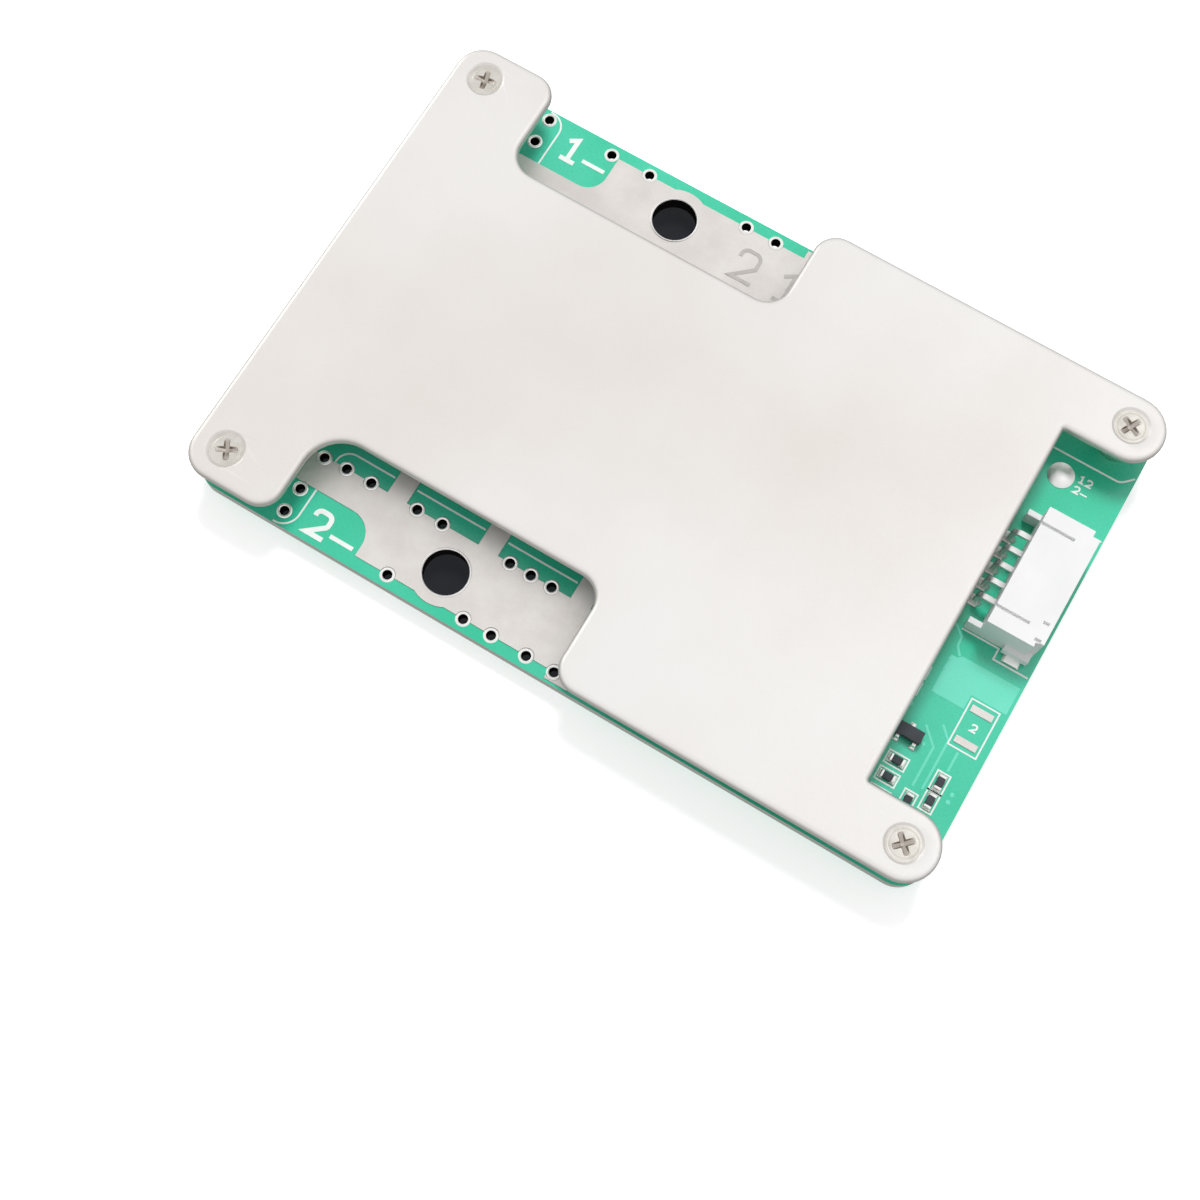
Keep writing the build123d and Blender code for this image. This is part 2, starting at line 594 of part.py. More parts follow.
def header_housing():
    """Side entry housing: walls round a socket, arms at the back and a lug on each side."""
    south = HEADER_Y - HEADER_WIDTH / 2
    north = HEADER_Y + HEADER_WIDTH / 2
    top = BOARD_TOP + HEADER_HEIGHT
    step_x = HEADER_MOUTH - HEADER_STEP_DEPTH
    housing = block(HEADER_BACK, step_x, south, north, BOARD_TOP, top)
    housing += block(step_x, HEADER_MOUTH, south + HEADER_STEP, north - HEADER_STEP, BOARD_TOP, top)
    housing -= block(HEADER_BACK + HEADER_BACK_WALL, HEADER_MOUTH, south + HEADER_STEP + HEADER_SIDE_WALL,
                     north - HEADER_STEP - HEADER_SIDE_WALL, BOARD_TOP + HEADER_WALL, top - HEADER_WALL)
    for low, high in ((south, south + HEADER_ARM_WIDTH), (north - HEADER_ARM_WIDTH, north)):
        housing += block(HEADER_BACK - HEADER_ARM_LENGTH, HEADER_BACK, low, high, BOARD_TOP,
                         BOARD_TOP + HEADER_ARM_HEIGHT)
    for low, high in ((south - LUG_REACH, south + HEADER_STEP), (north - HEADER_STEP, north + LUG_REACH)):
        housing += block(lug_back(), lug_back() + LUG_LENGTH, low, high, PART_BASE + TAB_THICKNESS,
                         BOARD_TOP + LUG_HEIGHT)
    for side in (1, -1):
        housing -= header_tab(side)
    for edge, inward in ((south, 1), (north, -1)):
        groove_y = edge + inward * GROOVE_FROM_SIDE
        housing -= block(HEADER_BACK, HEADER_BACK + GROOVE_LENGTH, groove_y - GROOVE_WIDTH / 2,
                         groove_y + GROOVE_WIDTH / 2, top - GROOVE_DEPTH, top)
    slot_end = HEADER_MOUTH - LATCH_SLOT_FROM_MOUTH
    for slot_y in (south + HEADER_STEP, south + HEADER_STEP + GROOVE_FROM_SIDE):
        housing -= block(slot_end - LATCH_SLOT_LENGTH, slot_end, slot_y, slot_y + GROOVE_WIDTH,
                         top - GROOVE_DEPTH, top)
    for contact_y in contact_places():
        housing -= contact_channel(contact_y)
    return housing


def lug_back():
    """X where the two side lugs of the housing begin."""
    return HEADER_MOUTH - LUG_LENGTH - LUG_FROM_MOUTH


def contact_places():
    """Y of each contact of the header."""
    span = HEADER_PITCH * (HEADER_WAYS - 1)
    return [HEADER_Y - span / 2 + HEADER_PITCH * step for step in range(HEADER_WAYS)]


def contact_channel(contact_y):
    """Hole through the back wall for one contact."""
    half = CONTACT_WIDTH / 2 + CONTACT_FIT
    low = BOARD_TOP + CONTACT_LEVEL - CONTACT_FIT
    return block(HEADER_BACK, HEADER_BACK + HEADER_BACK_WALL, contact_y - half, contact_y + half, low,
                 low + CONTACT_THICKNESS + 2 * CONTACT_FIT)


def header_contact(contact_y):
    """Bent pin: from the socket through the back wall and down to its pad."""
    tip = HEADER_MOUTH - CONTACT_TIP_FROM_MOUTH
    back = HEADER_BACK - CONTACT_BACK_REACH
    foot = back - CONTACT_FOOT
    level = CONTACT_LEVEL - TIN_THICKNESS
    outer_bend = CONTACT_BEND + CONTACT_THICKNESS
    corners = [
        (tip, level, 0),
        (tip, level + CONTACT_THICKNESS, 0),
        (back, level + CONTACT_THICKNESS, outer_bend),
        (back, CONTACT_THICKNESS, 0),
        (foot, CONTACT_THICKNESS, 0),
        (foot, 0, 0),
        (back + CONTACT_THICKNESS, 0, 0),
        (back + CONTACT_THICKNESS, level, CONTACT_BEND),
    ]
    profile = Plane.XZ * rounded_outline(corners)
    pad(foot + CONTACT_FOOT, contact_y, 2 * CONTACT_FOOT + PAD_MARGIN, 2 * CONTACT_WIDTH)
    pin = extrude(profile, amount=CONTACT_WIDTH / 2, both=True)
    return Pos(0, contact_y, PART_BASE) * pin


def header_tab(side):
    """Flat metal tab under a lug, soldered to its pad."""
    wall = HEADER_Y + side * HEADER_WIDTH / 2
    root = wall - side * TAB_REACH
    tip = wall + side * (LUG_REACH + TAB_REACH)
    middle = lug_back() + LUG_LENGTH / 2
    half = TAB_WIDTH / 2
    return block(middle - half, middle + half, min(root, tip), max(root, tip), PART_BASE,
                 PART_BASE + TAB_THICKNESS)


def tab_pad(side):
    """Pad that a header tab is soldered to."""
    reach = LUG_REACH + TAB_REACH
    middle = HEADER_Y + side * (HEADER_WIDTH / 2 + PAD_MARGIN / 2 + reach / 2)
    pad(lug_back() + LUG_LENGTH / 2, middle, TAB_WIDTH + 2 * PAD_MARGIN, reach - PAD_MARGIN)


# Screen print

def stroke(points, radii, width, scale=1.0, x=0.0, y=0.0):
    """Printed line of even width along a path given in units of scale."""
    placed = [(x + px * scale, y + py * scale) for px, py in points]
    if not any(radii):
        return trace(Polyline(*placed), line_width=width)
    return trace(FilletPolyline(*placed, radius=[radius * scale for radius in radii]), line_width=width)


def numeral_one(x, y, height, width):
    """The figure 1 with a flag and a foot, its lower left corner at (x, y)."""
    marks = stroke([(0.1, 0.76), (0.38, 0.93), (0.38, 0.0)], [0], width, height, x, y)
    foot = width / height / 2
    marks += stroke([(0.1, foot), (0.66, foot)], [], width, height, x, y)
    return marks


def numeral_two(x, y, height, width):
    """The figure 2, its lower left corner at (x, y)."""
    foot = width / height / 2
    path = [(0.08, 0.68), (0.08, 1 - foot), (0.64, 1 - foot), (0.64, 0.52), (0.1, foot), (0.72, foot)]
    return stroke(path, [0.18, 0.2, 0.12, 0], width, height, x, y)


def dash(x, y, height, width):
    """The minus sign that follows a figure whose lower left corner is at (x, y)."""
    return stroke([(0.86, 0.33), (1.72, 0.33)], [], width * 0.85, height, x, y)


def frame_print(x, y, length, width):
    """Printed rectangle round a part."""
    outer = Rectangle(length + FRAME_LINE, width + FRAME_LINE)
    return Pos(x, y) * (outer - Rectangle(length - FRAME_LINE, width - FRAME_LINE))


def corner_line(side):
    """Printed line that bounds a label field on its left and bends out to the board's edge."""
    x = NOTCH_LEFT + CORNER_LINE_FROM_NOTCH
    depth = BATTERY_FIELD_DEPTH if side > 0 else PACK_FIELD_DEPTH
    outer = side * (BOARD_NORTH - PRINT_FROM_EDGE)
    path = [(x, side * (BOARD_NORTH - depth)), (x, outer), (x - CORNER_LINE_ROUND - PRINT_LINE, outer)]
    return stroke(path, [CORNER_LINE_ROUND], PRINT_LINE)


def zone_lines():
    """Printed line along the front of each visible transistor of the pack row."""
    y = PACK_LAND_INNER + ZONE_LINE_RISE
    marks = []
    corner_x = NOTCH_LEFT + CORNER_LINE_FROM_NOTCH
    for index, centre in enumerate(POWER_XS[:-1]):
        left = centre - MASK_ZONE_WIDTH / 2 + PRINT_LINE
        right = centre + MASK_ZONE_WIDTH / 2 - PRINT_LINE
        if index == 0:
            path = [(corner_x, PACK_LAND_INNER), (corner_x, y), (right, y)]
            marks.append(stroke(path, [ZONE_LINE_RISE - PRINT_LINE], PRINT_LINE))
        else:
            marks.append(stroke([(left, y), (right, y)], [], PRINT_LINE))
    return marks


def header_lines():
    """Printed line on each side of the header, stepping out round the lug."""
    back = HEADER_BACK - HEADER_ARM_LENGTH
    turn_x = lug_back() - HEADER_LINE_GAP
    marks = []
    for side in (1, -1):
        wall = HEADER_Y + side * (HEADER_WIDTH / 2 + PRINT_LINE)
        out = HEADER_Y + side * (HEADER_WIDTH / 2 + LUG_REACH + TAB_REACH + HEADER_LINE_GAP)
        path = [(back, wall), (turn_x, wall), (turn_x, out), (BOARD_EAST - PRINT_FROM_EDGE, out)]
        marks.append(stroke(path, [], PRINT_LINE))
    return marks


def ear_line():
    """Printed line along the upper ear, bending out at its end."""
    end = BOARD_EAST - PRINT_FROM_EDGE
    bend = EAR_LINE_BEND
    path = [(EAR_ROOT + PRINT_LINE, EAR_INNER), (end - bend, EAR_INNER), (end, EAR_INNER + bend)]
    return stroke(path, [bend], PRINT_LINE)


def edge_place(inset, rise):
    """Place given in from the board's right-hand edge and up from the lower ear."""
    return BOARD_EAST - inset, -EAR_INNER + rise


def edge_places(places):
    """The same for a list of places."""
    return [edge_place(*place) for place in places]


def solder_point_place():
    """Centre of the round solder point above the header."""
    return BOARD_EAST - SOLDER_POINT_FROM_EDGE, HEADER_Y + HEADER_WIDTH / 2 + SOLDER_POINT_ABOVE_HEADER


def part_frames():
    """Printed rectangles round the small parts and the spare footprint."""
    length, width, _ = CHIP_SIZE
    long_side = length + 2 * FRAME_MARGIN
    short_side = width + 2 * FRAME_MARGIN
    marks = [frame_print(x, y, long_side, short_side) for x, y in edge_places(EDGE_CHIPS_ALONG_X)]
    marks += [frame_print(x, y, short_side, long_side) for x, y in edge_places(EDGE_CHIPS_ALONG_Y)]
    marks.append(frame_print(*edge_place(SPARE_FOOTPRINT_X, sum(SPARE_PAD_ROWS) / 2), *SPARE_FRAME))
    return marks


def label_marks():
    """Figures that tell the two terminals apart."""
    x = NOTCH_LEFT + LABEL_FROM_NOTCH
    battery = (x, BOARD_NORTH - BATTERY_LABEL_FROM_EDGE, LABEL_HEIGHT, LABEL_STROKE)
    pack = (x, -BOARD_NORTH + PACK_LABEL_FROM_EDGE, LABEL_HEIGHT, LABEL_STROKE)
    return [numeral_one(*battery) + dash(*battery), numeral_two(*pack) + dash(*pack)]


def small_marks():
    """Small figures inside the spare footprint and beside the solder point."""
    size = (SMALL_PRINT_HEIGHT, SMALL_PRINT_STROKE)
    spare_x, spare_y = edge_place(SPARE_FOOTPRINT_X, sum(SPARE_PAD_ROWS) / 2)
    spare_corner = (spare_x - SMALL_PRINT_HEIGHT * NUMERAL_WIDTH / 2, spare_y - SMALL_PRINT_HEIGHT / 2)
    point_x, point_y = solder_point_place()
    text_x = point_x + SOLDER_POINT_RADIUS + SMALL_PRINT_GAP
    upper = point_y + SMALL_PRINT_GAP / 2
    lower = (text_x, point_y - SMALL_PRINT_HEIGHT - SMALL_PRINT_GAP / 2, *size)
    second_x = text_x + SMALL_PRINT_HEIGHT * (NUMERAL_WIDTH + NUMERAL_GAP)
    return [
        numeral_two(*spare_corner, *size),
        numeral_one(text_x, upper, *size),
        numeral_two(second_x, upper, *size),
        numeral_two(*lower) + dash(*lower),
    ]


def screen_print():
    """Every white mark on the board, each a thin solid."""
    marks = label_marks() + [corner_line(1), corner_line(-1), ear_line()] + zone_lines() + header_lines()
    marks += part_frames() + small_marks()
    return [slab(mark, BOARD_TOP, PRINT_THICKNESS) for mark in marks]


def land_print():
    """Grey figures stamped on the battery land."""
    x = NOTCH_RIGHT - LAND_MARK_FROM_RIGHT
    y = BOARD_NORTH - LAND_MARK_FROM_EDGE
    size = (LAND_MARK_HEIGHT, LAND_MARK_STROKE)
    marks = [numeral_two(x, y, *size), numeral_one(x + LAND_MARK_STEP, y, *size)]
    return [slab(mark, PART_BASE, PRINT_THICKNESS) for mark in marks]


# Groups of parts on the board

def power_row(foot_y, side, first_number):
    """One row of power transistors: returns the named bodies and the metal parts."""
    bodies = {}
    metal = []
    for step, x in enumerate(POWER_XS):
        body, pieces = power_transistor(x, foot_y, side)
        bodies[f"power_transistor_{first_number + step}"] = body
        metal += pieces
    return bodies, metal


def shunts():
    """Current shunts in a column beside the battery land: returns their bodies and ends."""
    x = LAND_RIGHT + SHUNT_FROM_LAND + SHUNT_LENGTH / 2
    step_y = SHUNT_WIDTH + SHUNT_SPACING
    room = BOARD_NORTH - BATTERY_FOOT_Y - 2 * SHUNT_MARGIN
    bodies = []
    ends = []
    for step in range(int(room / step_y)):
        y = BOARD_NORTH - SHUNT_MARGIN - SHUNT_WIDTH / 2 - step * step_y
        body, caps = two_end_part(x, y, (SHUNT_LENGTH, SHUNT_WIDTH, SHUNT_HEIGHT), SHUNT_END)
        bodies.append(body)
        ends += caps
    return bodies, ends


def balance_cells():
    """A resistor and a transistor for each cell: returns resistors, ends, transistors and leads."""
    resistor_x = EAR_ROOT - BALANCE_FROM_EAR
    transistor_x = resistor_x - BALANCE_TRANSISTOR_SPACING
    resistors, ends, transistors, leads = [], [], [], []
    for step in range(BALANCE_COUNT):
        y = BALANCE_TOP_Y - BALANCE_ROW_STEP * step
        body, caps = two_end_part(resistor_x, y, BALANCE_SIZE, BALANCE_END)
        resistors.append(body)
        ends += caps
        body, wires = small_transistor(transistor_x, y)
        transistors.append(body)
        leads += wires
    return resistors, ends, transistors, leads


def capacitors():
    """Filter capacitors between the controller and the header: returns bodies and ends."""
    x = EAR_ROOT - CAPACITOR_FROM_EAR
    top_y = CONTROLLER_Y + CAPACITOR_ROW_STEP * (CAPACITOR_COUNT - 1) / 2
    bodies = []
    ends = []
    for step in range(CAPACITOR_COUNT):
        y = top_y - CAPACITOR_ROW_STEP * step
        body, caps = two_end_part(x, y, CAPACITOR_SIZE, CAPACITOR_END)
        bodies.append(body)
        ends += caps
    return bodies, ends


def edge_chips():
    """Chip resistors in the open strip beside the header: returns bodies and ends."""
    bodies = []
    ends = []
    for along_y, places in ((False, EDGE_CHIPS_ALONG_X), (True, EDGE_CHIPS_ALONG_Y)):
        for x, y in edge_places(places):
            body, caps = two_end_part(x, y, CHIP_SIZE, CHIP_END, along_y=along_y)
            bodies.append(body)
            ends += caps
    return bodies, ends


# Every node of the assembly

os.makedirs("parts", exist_ok=True)

save("heat_sink_plate", heat_sink_plate())
save("circuit_board", circuit_board())
save("battery_terminal", battery_terminal())
save("pack_terminal", pack_terminal())
save("plated_vias", *[plated_via(x, y) for x, y in via_places()])

for number, (screw_x, screw_y) in SCREW_PLACES.items():
    save(f"corner_screw_{number}", corner_screw(screw_x, screw_y, SCREW_TURNS[number]))
    save(f"corner_spacer_{number}", corner_spacer(screw_x, screw_y))
    save(f"corner_nut_{number}", corner_nut(screw_x, screw_y))

pack_bodies, pack_metal = power_row(PACK_FOOT_Y, 1, 1)
battery_bodies, battery_metal = power_row(BATTERY_FOOT_Y, -1, 1 + POWER_COUNT)
for name, body in (pack_bodies | battery_bodies).items():
    save(name, body)
save("pack_row_leadframes", *pack_metal)
save("battery_row_leadframes", *battery_metal)
save("pack_row_heat_pad", gap_pad(PACK_FOOT_Y, 1))
save("battery_row_heat_pad", gap_pad(BATTERY_FOOT_Y, -1))

shunt_bodies, shunt_ends = shunts()
for number, body in enumerate(shunt_bodies, 1):
    save(f"current_shunt_{number}", body)
save("current_shunt_ends", *shunt_ends)

save("header_housing", header_housing())
save("header_contacts", *[header_contact(y) for y in contact_places()])
save("header_solder_tabs", header_tab(1), header_tab(-1))
for side in (1, -1):
    tab_pad(side)

controller_body, controller_leads = controller(EAR_ROOT - CONTROLLER_FROM_EAR, CONTROLLER_Y)
save("controller_chip", controller_body)
save("controller_leads", *controller_leads)

balance_resistors, balance_ends, balance_transistors, transistor_leads = balance_cells()
for number, (resistor, transistor) in enumerate(zip(balance_resistors, balance_transistors), 1):
    save(f"balance_resistor_{number}", resistor)
    save(f"balance_transistor_{number}", transistor)
save("balance_resistor_ends", *balance_ends)

edge_body, edge_leads = small_transistor(*edge_place(*EDGE_TRANSISTOR_PLACE))
save("edge_transistor", edge_body)
save("small_transistor_leads", *transistor_leads, *edge_leads)

capacitor_bodies, capacitor_ends = capacitors()
save("filter_capacitors", *capacitor_bodies)
save("filter_capacitor_ends", *capacitor_ends)

chip_bodies, chip_ends = edge_chips()
save("chip_resistors", *chip_bodies)
save("chip_resistor_ends", *chip_ends)

for rise in SPARE_PAD_ROWS:
    pad(*edge_place(SPARE_FOOTPRINT_X, rise), *SPARE_PAD_SIZE)
save("solder_point", solder_point(*solder_point_place()))
save("solder_pads", *solder_pads)
save("screen_print", *screen_print())
save("land_print", *land_print())
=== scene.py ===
"""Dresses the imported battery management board, lights it and sets the camera.

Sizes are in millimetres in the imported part's frame, and a mesh is turned to metres when it is made.
"""

import logging
import math
from dataclasses import dataclass
from enum import Enum
from functools import reduce
from typing import Iterable

import bmesh
import bpy
import numpy as np
from mathutils import Matrix
from mathutils.geometry import tessellate_polygon


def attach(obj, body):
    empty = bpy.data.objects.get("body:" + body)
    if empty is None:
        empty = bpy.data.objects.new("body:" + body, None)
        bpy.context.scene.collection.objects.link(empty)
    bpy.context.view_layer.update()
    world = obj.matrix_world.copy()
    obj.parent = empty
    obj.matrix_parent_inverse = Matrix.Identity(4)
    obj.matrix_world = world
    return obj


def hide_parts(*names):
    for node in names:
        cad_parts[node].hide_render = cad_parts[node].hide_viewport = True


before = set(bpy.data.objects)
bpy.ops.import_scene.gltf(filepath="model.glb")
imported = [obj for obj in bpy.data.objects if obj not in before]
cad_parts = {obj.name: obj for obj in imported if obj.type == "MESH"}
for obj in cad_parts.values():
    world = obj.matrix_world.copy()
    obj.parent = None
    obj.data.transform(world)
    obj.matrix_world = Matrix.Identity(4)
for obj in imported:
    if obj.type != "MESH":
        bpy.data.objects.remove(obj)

LOG = logging.getLogger("board")
MM = 0.001
BODY = "root"

# Levels from the underside of the nuts, and how far the screws stand from the middle
BOARD_LOW = 1.2
BOARD_TOP = 2.8
TIN_HEIGHT = 0.08
PLATE_LOW = 7.2
PLATE_TOP = 8.2
SCREW_X = 39.63
SCREW_Y = 25.33

# Angles in radians, gaps in metres and the spans of noise that are used
QUARTER_TURN = math.pi / 2
FULL_TURN = 2 * math.pi
CREASE_ANGLE = math.radians(32)
CORNER_ANGLE = math.radians(35)
FLAT_ANGLE = 0.01
DOUBLE_GAP = 1e-7
COPY_DOUBLE_GAP = 2e-7
SLIVER = 1e-8
CLOUD_SPAN = (0.34, 0.66)
GRAIN_SPAN = (0.3, 0.7)

Tone = tuple[float, float, float]
Pair = tuple[float, float]
Triple = tuple[float, float, float]


def linear(tone: Tone) -> tuple[float, ...]:
    """Scene colour of a screen tone.

    Args:
        tone: Red, green and blue from 0 to 255.

    Returns:
        Linear red, green, blue and alpha: the screen's curve, which is a power of 2.4 above a short
        straight run, undone.
    """
    share = np.array(tone) / 255
    curve = np.where(share <= 0.04045, share / 12.92, ((share + 0.055) / 1.055) ** 2.4)
    return (*curve.tolist(), 1.0)


# Surfaces as arrays

@dataclass
class Surface:
    """Points and faces of a closed surface, in millimetres."""

    points: np.ndarray
    faces: list[tuple[int, ...]]

    @classmethod
    def grid(cls, points: np.ndarray, closed_rows: bool = False) -> "Surface":
        """Surface over a grid of points whose columns close on themselves.

        Args:
            points: Array of rows by columns by 3.
            closed_rows: Whether the last row also joins the first.

        Returns:
            The surface: face (row, column) joins that point to its neighbours in the next row and column.
        """
        rows, columns, _ = points.shape
        index = np.arange(rows * columns).reshape(rows, columns)
        upper = np.roll(index, -1, axis=0)
        if not closed_rows:
            index, upper = index[:-1], upper[:-1]
        quads = np.stack([index, np.roll(index, -1, axis=1), np.roll(upper, -1, axis=1), upper], axis=-1)
        return cls(points.reshape(-1, 3), [tuple(quad) for quad in quads.reshape(-1, 4).tolist()])

    @classmethod
    def cap(cls, rings: list[np.ndarray]) -> "Surface":
        """Flat face inside the first ring, with the other rings as its holes.

        Args:
            rings: Arrays of points at one level.

        Returns:
            The triangles between the rings.
        """
        triangles = tessellate_polygon([ring.tolist() for ring in rings])
        return cls(np.vstack(rings), [tuple(triangle) for triangle in triangles])

    @classmethod
    def join(cls, surfaces: Iterable["Surface"]) -> "Surface":
        """All the given surfaces as one.

        Args:
            surfaces: What is joined, in order.

        Returns:
            Their points in a row, and each face's indices raised by the points before it.
        """
        points, faces, count = [], [], 0
        for surface in surfaces:
            points.append(surface.points)
            faces += [tuple(corner + count for corner in face) for face in surface.faces]
            count += len(surface.points)
        return cls(np.vstack(points), faces)

    def copies(self, places: np.ndarray) -> "Surface":
        """A copy of the surface at each place.

        Args:
            places: Array of n by 3 shifts.

        Returns:
            The copies as one surface: every point is added to every shift at once.
        """
        points = (places[:, None, :] + self.points[None, :, :]).reshape(-1, 3)
        step = len(self.points)
        faces = [tuple(corner + step * copy for corner in face)
                 for copy in range(len(places)) for face in self.faces]
        return Surface(points, faces)

    def piece(self, name: str, finish: "Finish", replaced: Iterable[str] = ()) -> bpy.types.Object:
        """Finished object of this surface.

        Args:
            name: Name of the piece.
            finish: What it is made of.
            replaced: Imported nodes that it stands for.

        Returns:
            The object, with its doubles merged and its faces pointing outwards.
        """
        mesh = bpy.data.meshes.new(name)
        mesh.from_pydata((self.points * MM).tolist(), [], self.faces)
        body = bmesh.new()
        body.from_mesh(mesh)
        bmesh.ops.remove_doubles(body, verts=body.verts, dist=DOUBLE_GAP)
        bmesh.ops.dissolve_degenerate(body, edges=body.edges, dist=SLIVER)
        bmesh.ops.recalc_face_normals(body, faces=body.faces)
        body.to_mesh(mesh)
        body.free()
        mesh.shade_smooth()
        mesh.set_sharp_from_angle(angle=CREASE_ANGLE)
        return dressed(bpy.data.objects.new(name, mesh), finish, replaced)


def dressed(obj: bpy.types.Object, finish: "Finish", replaced: Iterable[str] = ()) -> bpy.types.Object:
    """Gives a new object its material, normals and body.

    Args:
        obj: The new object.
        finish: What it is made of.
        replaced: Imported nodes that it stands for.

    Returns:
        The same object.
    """
    bpy.context.scene.collection.objects.link(obj)
    obj.data.materials.clear()
    obj.data.materials.append(finish.material())
    shading = obj.modifiers.new("flat faces stay flat", "WEIGHTED_NORMAL")
    shading.keep_sharp = True
    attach(obj, BODY)
    if replaced:
        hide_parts(*replaced)
    LOG.info("piece %s, %s faces", obj.name, len(obj.data.polygons))
    return obj


def softened(node: str, finish: "Finish", width: float) -> bpy.types.Object:
    """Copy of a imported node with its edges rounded, shown in the node's place.

    Args:
        node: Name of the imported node.
        finish: What the copy is made of.
        width: Width of the rounding.

    Returns:
        The copy.
    """
    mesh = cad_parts[node].data.copy()
    body = bmesh.new()
    body.from_mesh(mesh)
    bmesh.ops.remove_doubles(body, verts=body.verts, dist=COPY_DOUBLE_GAP)
    bmesh.ops.dissolve_limit(body, angle_limit=FLAT_ANGLE, verts=body.verts, edges=body.edges)
    body.to_mesh(mesh)
    body.free()
    mesh.shade_smooth()
    copy = bpy.data.objects.new(f"{node}_detailed", mesh)
    rounding = copy.modifiers.new("rounded edges", "BEVEL")
    rounding.width = width * MM
    rounding.segments = 2
    rounding.limit_method = "ANGLE"
    rounding.angle_limit = CORNER_ANGLE
    return dressed(copy, finish, [node])


def coated(nodes: Iterable[str], finish: "Finish") -> None:
    """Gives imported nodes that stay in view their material.

    Args:
        nodes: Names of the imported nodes.
        finish: What they are made of.
    """
    for node in nodes:
        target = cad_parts[node]
        target.data.materials.clear()
        target.data.materials.append(finish.material())
        LOG.info("node %s, %s", node, finish.name)


def numbered(stem: str, count: int) -> list[str]:
    """Names of nodes that are counted from one."""
    return [f"{stem}_{number}" for number in range(1, count + 1)]


def arc(centre: Pair, radius: float, start: float, end: float, steps: int) -> np.ndarray:
    """Points of a circular arc.

    Args:
        centre: Its centre in the profile.
        radius: Its radius.
        start: First angle in degrees.
        end: Last angle in degrees.
        steps: Number of points.

    Returns:
        Array of steps by 2: the centre plus the radius times the cosine and sine of each angle.
    """
    angles = np.radians(np.linspace(start, end, steps))
    return np.column_stack([centre[0] + radius * np.cos(angles), centre[1] + radius * np.sin(angles)])


def full_turn(steps: int) -> np.ndarray:
    """Even angles once round, in radians."""
    return np.linspace(0, FULL_TURN, steps, endpoint=False)


def polar(radius: np.ndarray, turns: np.ndarray, height: np.ndarray) -> np.ndarray:
    """Grid of points given by radius, angle and height.

    Args:
        radius: Radii as a column, or one for each angle.
        turns: Angles as a row.
        height: Heights, shaped as the radii.

    Returns:
        The points: x is the radius times the cosine of the angle, y the radius times its sine.
    """
    return np.stack([radius * np.cos(turns), radius * np.sin(turns), height + 0 * turns], axis=-1)


def revolved(profile: np.ndarray, columns: int = 48, closed: bool = False) -> Surface:
    """Profile of radius and height turned about the upright axis.

    Args:
        profile: Array of n by 2.
        columns: Number of steps round the axis.
        closed: Whether the profile's end joins its start, as on a tube.

    Returns:
        The surface, with the profile's points at every step.
    """
    return Surface.grid(polar(profile[:, :1], full_turn(columns), profile[:, 1:]), closed)


def rounded_outline(corners: np.ndarray, inset: float = 0.0, steps: int = 10) -> np.ndarray:
    """Outline with right-angled corners rounded, counterclockwise.

    Args:
        corners: Array of n by 3: x, y and radius of each corner.
        inset: How far the outline is moved into the material.
        steps: Points on each corner.

    Returns:
        Array of points. Each corner is a quarter circle from the way in to the way out. Its radius
        is less by the inset where the corner stands out and more by it where it goes in.
    """
    places, radii = corners[:, :2], corners[:, 2:]
    way_in = places - np.roll(places, 1, axis=0)
    way_in /= np.linalg.norm(way_in, axis=1, keepdims=True)
    way_out = np.roll(way_in, -1, axis=0)
    centre = places + radii * (way_out - way_in)
    outward = np.sign(way_in[:, :1] * way_out[:, 1:] - way_in[:, 1:] * way_out[:, :1])
    turn = np.linspace(0, QUARTER_TURN, steps)[None, :, None]
    ray = way_in[:, None, :] * np.sin(turn) - way_out[:, None, :] * np.cos(turn)
    return (centre[:, None, :] + (radii - outward * inset)[:, None, :] * ray).reshape(-1, 2)


def at_level(outline: np.ndarray, level: float) -> np.ndarray:
    """Flat points lifted to one level."""
    return np.column_stack([outline, np.full(len(outline), level)])


def prism(outline: np.ndarray, low: float, high: float) -> Surface:
    """Solid of an outline between two levels.

    Args:
        outline: Array of n by 2.
        low: Its lower level.
        high: Its upper level.

    Returns:
        The outline's wall, closed by a flat face at each level.
    """
    rings = [at_level(outline, low), at_level(outline, high)]
    return Surface.join([Surface.grid(np.stack(rings)), Surface.cap(rings[:1]), Surface.cap(rings[1:])])


def ribbon(path: np.ndarray, width: float) -> np.ndarray:
    """Outline of a line of even width.

    Args:
        path: Array of n by 2.
        width: Its width.

    Returns:
        The path moved half the width to its left, then back along its right. The move at each
        point is square to the run from its neighbour before to its neighbour after.
    """
    along = np.gradient(path, axis=0)
    along /= np.linalg.norm(along, axis=1, keepdims=True)
    left = np.column_stack([-along[:, 1], along[:, 0]]) * width / 2
    return np.vstack([path - left, (path + left)[::-1]])


# Finishes

class Sheen(Enum):
    """How a surface answers light."""

    METAL = 1.0
    PLAIN = 0.0


